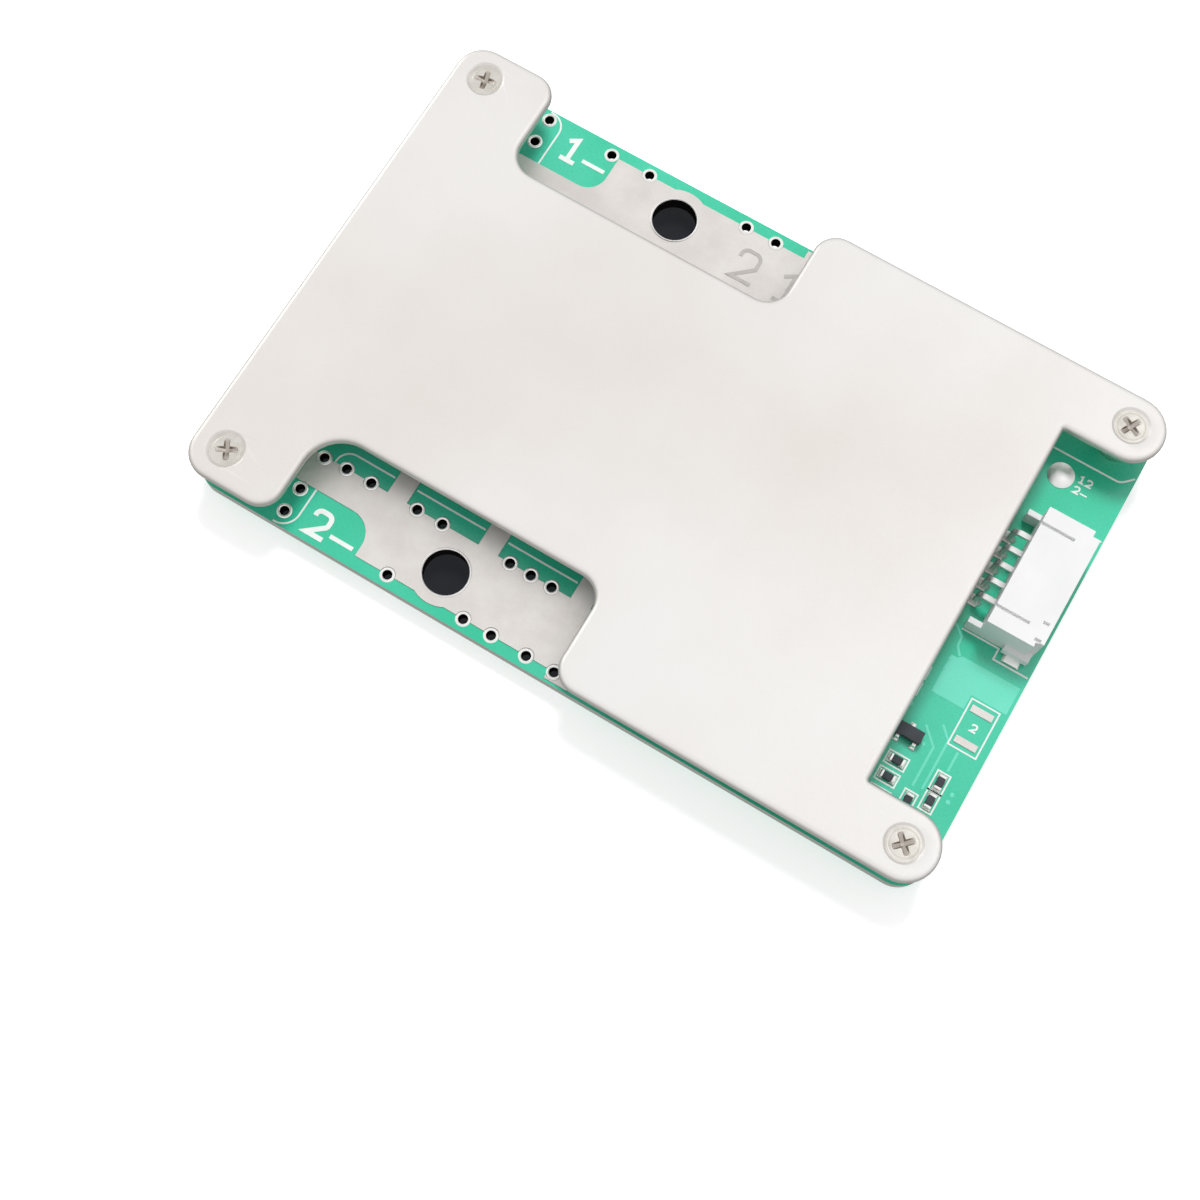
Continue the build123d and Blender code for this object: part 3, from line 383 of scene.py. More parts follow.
class Sketch:
    """Adds and joins the nodes of one tree."""

    def __init__(self, tree: bpy.types.NodeTree) -> None:
        """Keeps the tree that the nodes go into."""
        self.tree = tree

    def add(self, kind: str, settings: dict | None = None, **sockets: object) -> bpy.types.Node:
        """New node.

        Args:
            kind: Blender's name of the node.
            settings: Its properties.
            **sockets: Values or output sockets for its inputs, with _ for a space.

        Returns:
            The node.
        """
        node = self.tree.nodes.new(kind)
        for name, value in (settings or {}).items():
            setattr(node, name, value)
        for name, value in sockets.items():
            self.feed(node.inputs[name.replace("_", " ")], value)
        return node

    def feed(self, socket: bpy.types.NodeSocket, value: object) -> None:
        """Sets a socket to a value, or links it from another node's output."""
        if isinstance(value, bpy.types.NodeSocket):
            self.tree.links.new(value, socket)
        else:
            socket.default_value = value

    def maths(self, operation: str, *values: object) -> bpy.types.NodeSocket:
        """One step of arithmetic.

        Args:
            operation: Blender's name of it.
            *values: Numbers or output sockets that it works on.

        Returns:
            The result's socket.
        """
        node = self.add("ShaderNodeMath", {"operation": operation})
        for index, value in enumerate(values):
            self.feed(node.inputs[index], value)
        return node.outputs[0]

    def spread(self, value: object, source: Pair, target: Pair = (0.0, 1.0)) -> bpy.types.NodeSocket:
        """Value carried from one span to another and held at its ends.

        Args:
            value: The value's socket.
            source: Two values that are read.
            target: What each of them becomes.

        Returns:
            The result's socket.
        """
        node = self.add("ShaderNodeMapRange", Value=value, From_Min=source[0], From_Max=source[1],
                        To_Min=target[0], To_Max=target[1])
        return node.outputs["Result"]

    def place(self) -> bpy.types.NodeSocket:
        """Place on the piece, in metres."""
        return self.add("ShaderNodeTexCoord").outputs["Object"]

    def lying(self, normal: str, span: Pair) -> bpy.types.NodeSocket:
        """Mask of faces that lie flat.

        Args:
            normal: Which of the surface's normals is read.
            span: Upright share of the normal at which the mask is nought, and at which it is one.

        Returns:
            The mask's socket: the normal's height without its sign, spread over the span.
        """
        geometry = self.add("ShaderNodeNewGeometry")
        split = self.add("ShaderNodeSeparateXYZ", Vector=geometry.outputs[normal])
        return self.spread(self.maths("ABSOLUTE", split.outputs["Z"]), span)

    def blend(self, share: object, first: object, second: object) -> bpy.types.NodeSocket:
        """Colour between two others.

        Args:
            share: From 0 for the first to 1 for the second.
            first: A colour or its socket.
            second: The other.

        Returns:
            The colour's socket.
        """
        node = self.add("ShaderNodeMix", {"data_type": "RGBA"})
        for index, value in ((0, share), (6, first), (7, second)):
            self.feed(node.inputs[index], value)
        return node.outputs[2]


def emptied(holder: bpy.types.Material | bpy.types.World) -> Sketch:
    """Empties the tree of a new material or world.

    Args:
        holder: The material or the world.

    Returns:
        A sketch of its tree.
    """
    holder.use_nodes = True
    holder.node_tree.nodes.clear()
    return Sketch(holder.node_tree)


class Effect(Enum):
    """Surface effects that several finishes use, each a node group that is built once."""

    CLOUDS = "soft_clouds"
    GRAIN = "fine_grain"
    WEAVE = "glass_weave"

    def group(self) -> bpy.types.NodeTree:
        """The group of this effect, built on its first use.

        Returns:
            The same group each time.
        """
        made = bpy.data.node_groups.get(self.value)
        if made:
            return made
        tree = bpy.data.node_groups.new(self.value, "ShaderNodeTree")
        {Effect.CLOUDS: fill_clouds, Effect.GRAIN: fill_grain, Effect.WEAVE: fill_weave}[self](tree)
        return tree

    def use(self, sketch: Sketch, **sockets: object) -> bpy.types.Node:
        """Places the group in a material with the given values."""
        return sketch.add("ShaderNodeGroup", {"node_tree": self.group()}, **sockets)


def sockets_of(tree: bpy.types.NodeTree, inputs: dict[str, str], outputs: dict[str, str]) -> tuple:
    """Gives a group its inputs and outputs.

    Args:
        tree: The group.
        inputs: Kind of each input by name.
        outputs: Kind of each output by name.

    Returns:
        A sketch of the group, its input node and its output node.
    """
    for side, names in (("INPUT", inputs), ("OUTPUT", outputs)):
        for name, kind in names.items():
            tree.interface.new_socket(name=name, in_out=side, socket_type=f"NodeSocket{kind}")
    sketch = Sketch(tree)
    return sketch, sketch.add("NodeGroupInput"), sketch.add("NodeGroupOutput")


def fill_clouds(tree: bpy.types.NodeTree) -> None:
    """Colour that drifts between two tones: soft noise, spread to the full share and used to blend them.

    Args:
        tree: The group that it goes into.
    """
    sketch, given, result = sockets_of(
        tree, {"Scale": "Float", "First": "Color", "Second": "Color"}, {"Colour": "Color", "Mask": "Float"})
    noise = sketch.add("ShaderNodeTexNoise", Vector=sketch.place(), Scale=given.outputs["Scale"], Detail=4.0)
    share = sketch.spread(noise.outputs["Fac"], CLOUD_SPAN)
    colour = sketch.blend(share, given.outputs["First"], given.outputs["Second"])
    sketch.feed(result.inputs["Colour"], colour)
    sketch.feed(result.inputs["Mask"], share)


def fill_grain(tree: bpy.types.NodeTree) -> None:
    """Fine even grain: noise of the given scale as a value, and as a bump of the given depth in metres.

    Args:
        tree: The group that it goes into.
    """
    sketch, given, result = sockets_of(
        tree, {"Scale": "Float", "Depth": "Float"}, {"Value": "Float", "Normal": "Vector"})
    noise = sketch.add("ShaderNodeTexNoise", Vector=sketch.place(), Scale=given.outputs["Scale"], Detail=3.0)
    bump = sketch.add("ShaderNodeBump", Height=noise.outputs["Fac"], Distance=given.outputs["Depth"])
    sketch.feed(result.inputs["Value"], noise.outputs["Fac"])
    sketch.feed(result.inputs["Normal"], bump.outputs["Normal"])


def fill_weave(tree: bpy.types.NodeTree) -> None:
    """Glass cloth under lacquer: the sine of x times the sine of y at the given scale, as value and bump.

    Args:
        tree: The group that it goes into.
    """
    sketch, given, result = sockets_of(
        tree, {"Scale": "Float", "Depth": "Float"}, {"Value": "Float", "Normal": "Vector"})
    split = sketch.add("ShaderNodeSeparateXYZ", Vector=sketch.place())
    threads = [sketch.maths("SINE", sketch.maths("MULTIPLY", split.outputs[axis], given.outputs["Scale"]))
               for axis in "XY"]
    cloth = sketch.maths("MULTIPLY", *threads)
    bump = sketch.add("ShaderNodeBump", Height=cloth, Distance=given.outputs["Depth"])
    sketch.feed(result.inputs["Value"], cloth)
    sketch.feed(result.inputs["Normal"], bump.outputs["Normal"])


@dataclass(frozen=True)
class Finish:
    """Clouded colour with a fine grain, metal or plain."""

    name: str
    slot: str
    tone: Tone
    second: Tone
    roughness: Pair
    sheen: Sheen = Sheen.PLAIN
    cloud_scale: float = 60.0
    grain_scale: float = 4000.0
    grain_depth: float = 0.00002
    coat: float = 0.0
    coat_roughness: float = 0.12
    shine: float = 0.5

    def material(self) -> bpy.types.Material:
        """The finish's material, built on its first use.

        Returns:
            One shader, with the grain in its roughness and normal and the finish's own colour.
        """
        made = bpy.data.materials.get(self.name)
        if made:
            return made
        material = bpy.data.materials.new(self.name)
        sketch = emptied(material)
        shader = sketch.add("ShaderNodeBsdfPrincipled", Metallic=self.metal(sketch), Coat_Weight=self.coat,
                            Specular_IOR_Level=self.shine, Coat_Roughness=self.coat_roughness)
        grain = Effect.GRAIN.use(sketch, Scale=self.grain_scale, Depth=self.grain_depth)
        rough = sketch.spread(grain.outputs["Value"], GRAIN_SPAN, self.roughness)
        sketch.feed(shader.inputs["Roughness"], rough)
        sketch.feed(shader.inputs["Normal"], grain.outputs["Normal"])
        sketch.feed(shader.inputs["Base Color"], self.colour(sketch))
        output = sketch.add("ShaderNodeOutputMaterial")
        sketch.feed(output.inputs["Surface"], shader.outputs["BSDF"])
        return material

    def metal(self, sketch: Sketch) -> bpy.types.NodeSocket | float:
        """Metallic share: the sheen's own, all over."""
        return self.sheen.value

    def colour(self, sketch: Sketch) -> bpy.types.NodeSocket:
        """Colour socket: clouds between the two tones."""
        clouds = Effect.CLOUDS.use(sketch, Scale=self.cloud_scale, First=linear(self.tone),
                                   Second=linear(self.second))
        return clouds.outputs["Colour"]


@dataclass(frozen=True)
class BoardFinish(Finish):
    """Green lacquer over glass cloth on the faces, bare laminate on the cut sides."""

    side_tone: Tone = (150, 158, 140)
    side_lean: Pair = (0.4, 0.6)
    weave_scale: float = 7000.0
    weave_depth: float = 0.00001
    weave_shade: float = 0.03

    def colour(self, sketch: Sketch) -> bpy.types.NodeSocket:
        """Colour of the board.

        Args:
            sketch: Where its nodes go.

        Returns:
            The colour's socket: lacquer a little darker between threads, and laminate on upright faces.
        """
        face = super().colour(sketch)
        weave = Effect.WEAVE.use(sketch, Scale=self.weave_scale, Depth=self.weave_depth)
        share = sketch.spread(weave.outputs["Value"], (-1.0, 1.0), (0.0, self.weave_shade))
        shaded = sketch.blend(share, face, (0.0, 0.0, 0.0, 1.0))
        return sketch.blend(sketch.lying("Normal", self.side_lean), linear(self.side_tone), shaded)


@dataclass(frozen=True)
class WallShadeFinish(Finish):
    """Metal with painted shade on upright walls: a near-black tone down in a plated hole, a grey one round a
    sheet's cut edge.
    """

    # Painted shade: this wall colour stands in for the dark down in holes and round cut edges; the real metal
    # is as bright there as on its faces.
    wall_shade_tone: Tone = (26, 24, 24)
    wall_lean: Pair = (0.15, 0.3)
    wall_metal: float = 0.0

    def metal(self, sketch: Sketch) -> bpy.types.NodeSocket | float:
        """Metallic socket: the sheen's own on faces, and the wall's share on walls, where a low share keeps
        reflections off the painted shade.
        """
        faces = sketch.lying("True Normal", self.wall_lean)
        return sketch.spread(faces, (0.0, 1.0), (self.wall_metal, self.sheen.value))

    def colour(self, sketch: Sketch) -> bpy.types.NodeSocket:
        """Colour socket: the clouded colour on faces and the painted shade tone on walls."""
        faces = sketch.lying("True Normal", self.wall_lean)
        return sketch.blend(faces, linear(self.wall_shade_tone), super().colour(sketch))


@dataclass(frozen=True)
class ScrewFinish(Finish):
    """Bright steel with painted shade down in the cross: a darker, browner tone below the recess's top."""

    # Painted shade in the cross recess, darker and browner than the steel.
    recess_shade_tone: Tone = (182, 174, 166)
    recess_top: float = 8.0
    recess_fade: float = 0.15

    def colour(self, sketch: Sketch) -> bpy.types.NodeSocket:
        """Colour of the screw.

        Args:
            sketch: Where its nodes go.

        Returns:
            The colour's socket: the steel's own, and below the recess's top the recess's painted shade tone.
        """
        # Mask of the painted shade: one below the recess's top.
        split = sketch.add("ShaderNodeSeparateXYZ", Vector=sketch.place())
        fade = (self.recess_top * MM, (self.recess_top - self.recess_fade) * MM)
        deep = sketch.spread(split.outputs["Z"], fade)
        return sketch.blend(deep, super().colour(sketch), linear(self.recess_shade_tone))


# The sheet's rounded cut edge carries a grey painted shade.
ALUMINIUM = WallShadeFinish("satin_aluminium", "plate_aluminium", (229, 224, 219), (238, 236, 234), (0.44, 0.56),
                         Sheen.METAL, cloud_scale=26.0, grain_scale=5200.0, grain_depth=0.000005,
                         wall_shade_tone=(196, 192, 188), wall_lean=(0.45, 0.9), wall_metal=1.0)
LACQUER = BoardFinish("green_lacquer", "board_green", (44, 196, 154), (70, 207, 172), (0.26, 0.34),
                      cloud_scale=70.0, grain_depth=0.000003, coat=0.25)
LACQUERED_COPPER = Finish("lacquered_copper", "board_green", (104, 222, 192), (114, 226, 200), (0.26, 0.34),
                          cloud_scale=120.0, grain_depth=0.000003, coat=0.25)
# Upright walls of the tinned lands, leadframes and shunt ends carry a near-black painted shade.
TIN = WallShadeFinish("mottled_tin", "tinned_copper", (221, 216, 212), (231, 227, 223), (0.42, 0.58),
                   Sheen.METAL, cloud_scale=260.0, grain_scale=5000.0, grain_depth=0.000006, shine=0.0)
BRIGHT_TIN = Finish("bright_solder", "tinned_copper", (232, 231, 229), (243, 242, 241), (0.36, 0.5),
                    Sheen.METAL, cloud_scale=500.0, grain_scale=3500.0, grain_depth=0.000005)
# The via barrels carry a near-black painted shade, though they are tinned.
RING_TIN = WallShadeFinish("bright_ring", "tinned_copper", (238, 236, 233), (246, 244, 242), (0.42, 0.55),
                        Sheen.METAL, cloud_scale=500.0, grain_scale=3500.0, grain_depth=0.000004, shine=0.0)
STEEL = Finish("nickel_steel", "fastener_steel", (216, 213, 207), (226, 223, 218), (0.3, 0.44), Sheen.METAL,
               cloud_scale=400.0, grain_scale=6000.0, grain_depth=0.000005)
SCREW_STEEL = ScrewFinish("screw_steel", "fastener_steel", (203, 199, 191), (220, 216, 209), (0.24, 0.36),
                          Sheen.METAL, cloud_scale=700.0, grain_scale=6000.0, grain_depth=0.000004)
TURNED_NICKEL = Finish("turned_nickel", "spacer_nickel", (200, 198, 192), (220, 217, 210), (0.25, 0.38),
                       Sheen.METAL, cloud_scale=500.0, grain_depth=0.00001)
EPOXY = Finish("moulded_epoxy", "package_black", (52, 55, 60), (68, 71, 76), (0.5, 0.68),
               cloud_scale=300.0, grain_scale=7000.0, grain_depth=0.00002)
SILICONE = Finish("heat_silicone", "heat_pad_silicone", (138, 142, 150), (150, 154, 161), (0.7, 0.85),
                  cloud_scale=140.0, grain_scale=2600.0, grain_depth=0.00003)
NYLON = Finish("moulded_nylon", "header_nylon", (235, 235, 236), (241, 241, 241), (0.42, 0.55),
               cloud_scale=200.0, grain_scale=5000.0, grain_depth=0.00001)
CERAMIC = Finish("fired_ceramic", "capacitor_ceramic", (150, 124, 96), (168, 142, 112), (0.45, 0.6),
                 cloud_scale=800.0, grain_scale=6000.0)
WHITE_INK = Finish("white_ink", "print_white", (240, 246, 242), (248, 252, 249), (0.5, 0.65),
                   cloud_scale=900.0, grain_scale=7000.0, grain_depth=0.00001)
GREY_INK = Finish("grey_stamp", "print_grey", (184, 180, 176), (196, 192, 188), (0.5, 0.65),
                  cloud_scale=900.0, grain_scale=6000.0, grain_depth=0.00001)


# Sub-assemblies

@dataclass
class HeatSink:
    """Aluminium sheet over the board, with a notch over each terminal and two ears.

    Each corner has its x, its y and the radius that it is rounded to.
    """

    low: float = PLATE_LOW
    top: float = PLATE_TOP
    edge_round: float = 0.7
    edge_steps: int = 14
    burr: float = 0.06
    mouth: float = 2.07
    throat: float = 1.07
    hole_steps: int = 48
    corners: tuple[Triple, ...] = (
        (-43.5, -29.0, 3.2), (-32.1, -29.0, 2.7), (-32.1, -17.9, 4.2), (1.4, -17.9, 2.65), (1.4, -29.0, 2.7),
        (43.5, -29.0, 3.7), (43.5, -21.55, 3.7), (33.75, -21.55, 0.15), (33.75, 21.55, 0.15),
        (43.5, 21.55, 3.7), (43.5, 29.0, 3.7), (1.4, 29.0, 2.7), (1.4, 17.9, 2.65), (-32.1, 17.9, 2.8),
        (-32.1, 29.0, 2.7), (-43.5, 29.0, 3.2))

    def section(self) -> np.ndarray:
        """Section of the sheet's edge.

        Returns:
            Inset and level of each ring, from the underside over the rounded edge to the flat top.
        """
        straight = [(self.burr, self.low), (0.0, self.low + self.burr)]
        centre = (self.edge_round, self.top - self.edge_round)
        curve = arc(centre, self.edge_round, 180, 90, self.edge_steps)
        return np.vstack([straight, curve])

    def hole(self) -> np.ndarray:
        """Profile of a countersink, from its mouth down to its throat."""
        return np.array([(self.mouth + self.burr, self.top), (self.mouth, self.top - self.burr / 2),
                         (self.throat, self.low + self.burr), (self.throat + self.burr, self.low)])

    def build(self) -> None:
        """Makes the sheet: rings over the edge, four countersinks and a flat face on both sides."""
        corners = np.array(self.corners)
        rings = [at_level(rounded_outline(corners, inset), level) for inset, level in self.section()]
        places = np.array([(x, y, 0) for y in (SCREW_Y, -SCREW_Y) for x in (-SCREW_X, SCREW_X)])
        countersink = revolved(self.hole(), self.hole_steps)
        mouth, throat = countersink.points[:self.hole_steps], countersink.points[-self.hole_steps:]
        top = Surface.cap([rings[-1]] + [mouth + place for place in places])
        under = Surface.cap([rings[0]] + [throat + place for place in places])
        sheet = Surface.join([Surface.grid(np.stack(rings)), countersink.copies(places), top, under])
        sheet.piece("heat_sink_sheet", ALUMINIUM, ["heat_sink_plate"])


@dataclass
class CornerFastening:
    """Screws with a cross recess, sleeves and thin nuts at the four corners.

    Each place has its x, its y and the turn of its cross in degrees. The rim gives how far its two edges
    lie below the head's top, the tip's cut how far it goes in and up, the cone its depth in the middle and
    at least, the groove its radius, width and depth, and the sleeve its inner and outer radius.
    """

    places: tuple[Triple, ...] = (
        (-SCREW_X, SCREW_Y, 12.0), (SCREW_X, SCREW_Y, 62.0), (-SCREW_X, -SCREW_Y, 28.0),
        (SCREW_X, -SCREW_Y, 45.0))
    head_top: float = 8.05
    head: float = 1.9
    head_rise: float = 0.05
    head_edge: float = 0.05
    rim: Pair = (0.09, 0.13)
    shaft: float = 1.0
    tip: float = 0.05
    tip_cut: Pair = (0.15, 0.2)
    cross_length: float = 1.15
    cross_width: float = 0.27
    cross_depth: float = 0.6
    cross_ease: float = 0.12
    cone: Pair = (1.15, 0.1)
    groove: Triple = (1.5, 0.05, 0.03)
    nut_flat: float = 2.0
    nut_height: float = BOARD_LOW
    nut_bore: float = 1.02
    nut_cut: float = 0.12
    nut_face: float = 1.02
    nut_slope: float = 0.58
    sleeve: Pair = (1.15, 2.0)
    sleeve_cut: float = 0.1

    def head_height(self, radius: np.ndarray, turns: np.ndarray, turn: float) -> np.ndarray:
        """Height of the head over a polar grid.

        Args:
            radius: Radii as a column.
            turns: Angles as a row.
            turn: How far the cross is turned, in degrees.

        Returns:
            A low dome less the cross and a shallow ring. The cross is as deep as a cone allows, and its
            walls are a smooth step of the distance to the nearer of two crossed bars.
        """
        u = radius * np.cos(turns - math.radians(turn))
        v = radius * np.sin(turns - math.radians(turn))
        bar = np.maximum(np.abs(u) - self.cross_length, np.abs(v) - self.cross_width)
        other = np.maximum(np.abs(v) - self.cross_length, np.abs(u) - self.cross_width)
        inside = np.clip(0.5 - np.minimum(bar, other) / self.cross_ease, 0, 1)
        step = inside * inside * (3 - 2 * inside)
        cone = np.clip(self.cone[0] - radius / self.cross_length, self.cone[1], 1)
        middle, width, depth = self.groove
        ring = depth * np.exp(-((radius - middle) / width) ** 2)
        dome = self.head_top - self.head_rise * (radius / self.head) ** 2
        return dome - self.cross_depth * cone * step - ring

    def screw(self, turn: float) -> Surface:
        """Whole screw.

        Args:
            turn: How far the cross is turned, in degrees.

        Returns:
            Rings from the middle out and down: the head's grid, its rim, its cone and the shaft to the tip.
        """
        turns = full_turn(96)
        radii = np.linspace(0, self.head - self.head_edge, 46)[:, None]
        top = self.head_height(radii, turns, turn)
        neck = self.head_top - (self.head - self.shaft)
        inward, upward = self.tip_cut
        lower = np.array([(self.head, self.head_top - drop) for drop in self.rim]
                         + [(self.shaft, neck), (self.shaft, self.tip + upward),
                            (self.shaft - inward, self.tip), (0.0, self.tip)])
        radius = np.vstack([radii, lower[:, :1]])
        height = np.vstack([top, np.repeat(lower[:, 1:], len(turns), axis=1)])
        return Surface.grid(polar(radius, turns, height))

    def nut(self) -> Surface:
        """Hexagon nut.

        Returns:
            Rings round its section. A hexagon's radius is the flat's distance over the cosine of the turn
            from its middle, and the corners are drawn in at both faces.
        """
        turns = full_turn(72)
        even = np.ones_like(turns)
        hexagon = self.nut_flat / np.cos(turns % (math.pi / 3) - math.pi / 6)
        washer = np.minimum(hexagon, self.nut_flat * self.nut_face)
        drop = (hexagon - washer) * self.nut_slope
        cut, top = self.nut_cut, self.nut_height
        bore, lip = self.nut_bore * even, (self.nut_bore + cut) * even
        radius = np.stack([bore, lip, washer, hexagon, hexagon, washer, lip, bore])
        height = np.stack([cut * even, 0 * even, 0 * even, drop, top - drop, top * even, top * even,
                           (top - cut) * even])
        return Surface.grid(polar(radius, turns, height), closed_rows=True)

    def spacer(self) -> Surface:
        """Sleeve between the board and the plate.

        Returns:
            A tube's profile with its four edges broken, turned about its axis.
        """
        (inner, outer), low, top, cut = self.sleeve, BOARD_TOP, PLATE_LOW, self.sleeve_cut
        profile = np.array([(inner, low + cut), (inner + cut, low), (outer - cut, low), (outer, low + cut),
                            (outer, top - cut), (outer - cut, top), (inner + cut, top), (inner, top - cut)])
        return revolved(profile, closed=True)

    def build(self) -> None:
        """Makes the four corners."""
        for number, (x, y, turn) in enumerate(self.places, 1):
            for surface, name, finish, node in (
                    (self.screw(turn), "cross_screw", SCREW_STEEL, "corner_screw"),
                    (self.nut(), "thin_nut", STEEL, "corner_nut"),
                    (self.spacer(), "turned_sleeve", TURNED_NICKEL, "corner_spacer")):
                placed = surface.copies(np.array([(x, y, 0)]))
                placed.piece(f"{name}_{number}", finish, [f"{node}_{number}"])


@dataclass
class PrintedBoard:
    """Lacquered board with its terminals, vias, print and the copper that shows through the lacquer.

    The ring's rise is how round a via's ring is above and below, and the rim is a terminal rim's radius
    and its thickness.
    """

    low: float = BOARD_LOW
    top: float = BOARD_TOP
    via_hole: float = 0.52
    via_ring: float = 0.85
    via_wall: float = 0.06
    via_lip: float = 0.01
    ring_rise: Pair = (0.55, 0.5)
    vias: tuple[Pair, ...] = (
        (-24.37, 27.17), (-19.44, 27.17), (-6.99, 27.17), (-3.25, 27.17), (-32.66, 27.34), (-32.67, 24.2),
        (-19.41, -27.17), (-10.1, -27.17), (-6.69, -27.17), (-2.45, -27.17), (0.93, -27.17),
        (-29.42, -19.5), (-26.34, -19.5), (-20.58, -19.5), (-17.45, -19.5), (-9.08, -19.5), (-6.53, -19.5),
        (-4.0, -19.5), (-32.13, -19.66), (-32.43, -23.89), (-32.51, -26.8))
    rim: Pair = (2.62, 0.1)
    terminals: tuple[Pair, ...] = ((-14.3, 23.83), (-14.3, -23.83))
    tiny_via: float = 0.26
    tiny_rise: float = 0.2
    tiny_root: float = 0.05
    tiny_vias: tuple[Pair, ...] = (
        (35.27, -4.89), (35.28, -6.03), (34.01, -11.13), (37.04, -14.22), (42.03, -17.4), (42.03, -18.27))
    skin: float = 0.02
    trace_width: float = 0.26
    traces: tuple[tuple[Pair, ...], ...] = (
        ((36.4, -12.3), (36.83, -12.73), (38.15, -14.0), (38.15, -18.6)),
        ((37.9, -11.4), (39.15, -12.65), (39.15, -18.4)),
        ((40.55, -13.2), (40.55, -15.5)),
        ((34.05, -1.21), (35.24, -2.13), (35.37, -3.29), (36.04, -4.13)))
    pour: tuple[Pair, ...] = (
        (35.2, -8.9), (38.95, -8.9), (38.95, -7.2), (43.0, -7.2), (43.0, -4.0), (36.3, -4.0), (35.9, -4.4),
        (35.2, -4.4))

    def via(self) -> Surface:
        """Plated hole.

        Returns:
            A tube whose ends swell into low rings: half circles over the ring's middle, flattened.
        """
        middle, half = (self.via_hole + self.via_ring) / 2, (self.via_ring - self.via_hole) / 2
        crown = arc((middle, self.top), half, 180, 0, 7)
        foot = arc((middle, self.low), half, 360, 180, 7)
        for curve, level, rise in zip((crown, foot), (self.top, self.low), self.ring_rise):
            curve[:, 1] = level + (curve[:, 1] - level) * rise
        wall = self.via_hole + self.via_wall
        barrel = [(wall, self.top - self.via_lip), (wall, self.low + self.via_lip)]
        return revolved(np.vstack([crown, barrel, foot]), 32, closed=True)

    def rings(self) -> Surface:
        """Thin bright rim round each terminal hole.

        Returns:
            A low torus at each hole, from its circle's angle and its tube's.
        """
        radius, tube = self.rim
        profile = arc((radius, self.top + TIN_HEIGHT), tube, 0, 330, 12)
        return revolved(profile, 64, closed=True).copies(at_level(np.array(self.terminals), 0.0))

    def dots(self) -> Surface:
        """Tented vias under the lacquer.

        Returns:
            Low domes: a quarter circle, flattened, turned about its upright axis.
        """
        curve = arc((0, self.top), self.tiny_via, 0, 90, 6)
        curve[:, 1] = self.top + (curve[:, 1] - self.top) * self.tiny_rise
        root = self.top - self.tiny_root
        dome = np.vstack([[(0.0, root), (self.tiny_via, root)], curve])
        return revolved(dome, 20).copies(at_level(np.array(self.tiny_vias), 0.0))

    def copper(self) -> Surface:
        """Traces and the filled area that show through the lacquer.

        Returns:
            Each one's outline between two levels.
        """
        outlines = [ribbon(np.array(path), self.trace_width) for path in self.traces] + [np.array(self.pour)]
        low, high = self.top - self.skin, self.top + self.skin
        return Surface.join(prism(outline, low, high) for outline in outlines)

    def build(self) -> None:
        """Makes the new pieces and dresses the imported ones."""
        coated(["circuit_board"], LACQUER)
        coated(["battery_terminal", "pack_terminal", "solder_pads"], TIN)
        coated(["screen_print"], WHITE_INK)
        coated(["land_print"], GREY_INK)
        holes = self.via().copies(at_level(np.array(self.vias), 0.0))
        holes.piece("plated_holes", RING_TIN, ["plated_vias"])
        self.rings().piece("terminal_rims", BRIGHT_TIN)
        self.copper().piece("copper_under_lacquer", LACQUERED_COPPER)
        self.dots().piece("tented_vias", LACQUERED_COPPER)


@dataclass
class PowerStage:
    """Two rows of transistors with their leadframes, heat pads and the current shunts."""

    transistors: int = 8
    shunts: int = 3
    package_round: float = 0.12
    shunt_round: float = 0.06
    frame_round: float = 0.05

    def build(self) -> None:
        """Rounds the packages' edges and dresses the metal."""
        for node in numbered("power_transistor", self.transistors):
            softened(node, EPOXY, self.package_round)
        for node in numbered("current_shunt", self.shunts):
            softened(node, EPOXY, self.shunt_round)
        for node in ("pack_row_heat_pad", "battery_row_heat_pad"):
            softened(node, SILICONE, self.package_round)
        for node in ("pack_row_leadframes", "battery_row_leadframes", "current_shunt_ends"):
            softened(node, TIN, self.frame_round)


@dataclass
class BalanceHeader:
    """Moulded header with its bent contacts, side tabs and the solder at their feet.

    The mound is the solder's half length, half width and height.
    """

    feet_x: float = 34.75
    ways: int = 5
    pitch: float = 2.0
    middle_y: float = 5.95
    base: float = BOARD_TOP + TIN_HEIGHT
    mound: Triple = (0.62, 0.46, 0.36)
    mound_root: float = 0.1
    housing_round: float = 0.1
    contact_round: float = 0.07
    tab_round: float = 0.05

    def fillets(self) -> Surface:
        """Solder round each foot.

        Returns:
            A mound at each contact, wider along the foot, that falls as the square of the distance.
        """
        share = np.linspace(1, 0, 9)
        curve = np.column_stack([share, 1 - share**2])
        surface = revolved(np.vstack([[(0.0, -self.mound_root), (1.0, -self.mound_root)], curve]), 28)
        surface.points = surface.points * np.array(self.mound)
        steps = (np.arange(self.ways) - (self.ways - 1) / 2) * self.pitch + self.middle_y
        return surface.copies(at_level(np.column_stack([np.full(self.ways, self.feet_x), steps]), self.base))

    def build(self) -> None:
        """Makes the header's pieces."""
        softened("header_housing", NYLON, self.housing_round)
        softened("header_contacts", BRIGHT_TIN, self.contact_round)
        softened("header_solder_tabs", BRIGHT_TIN, self.tab_round)
        self.fillets().piece("contact_solder", BRIGHT_TIN)


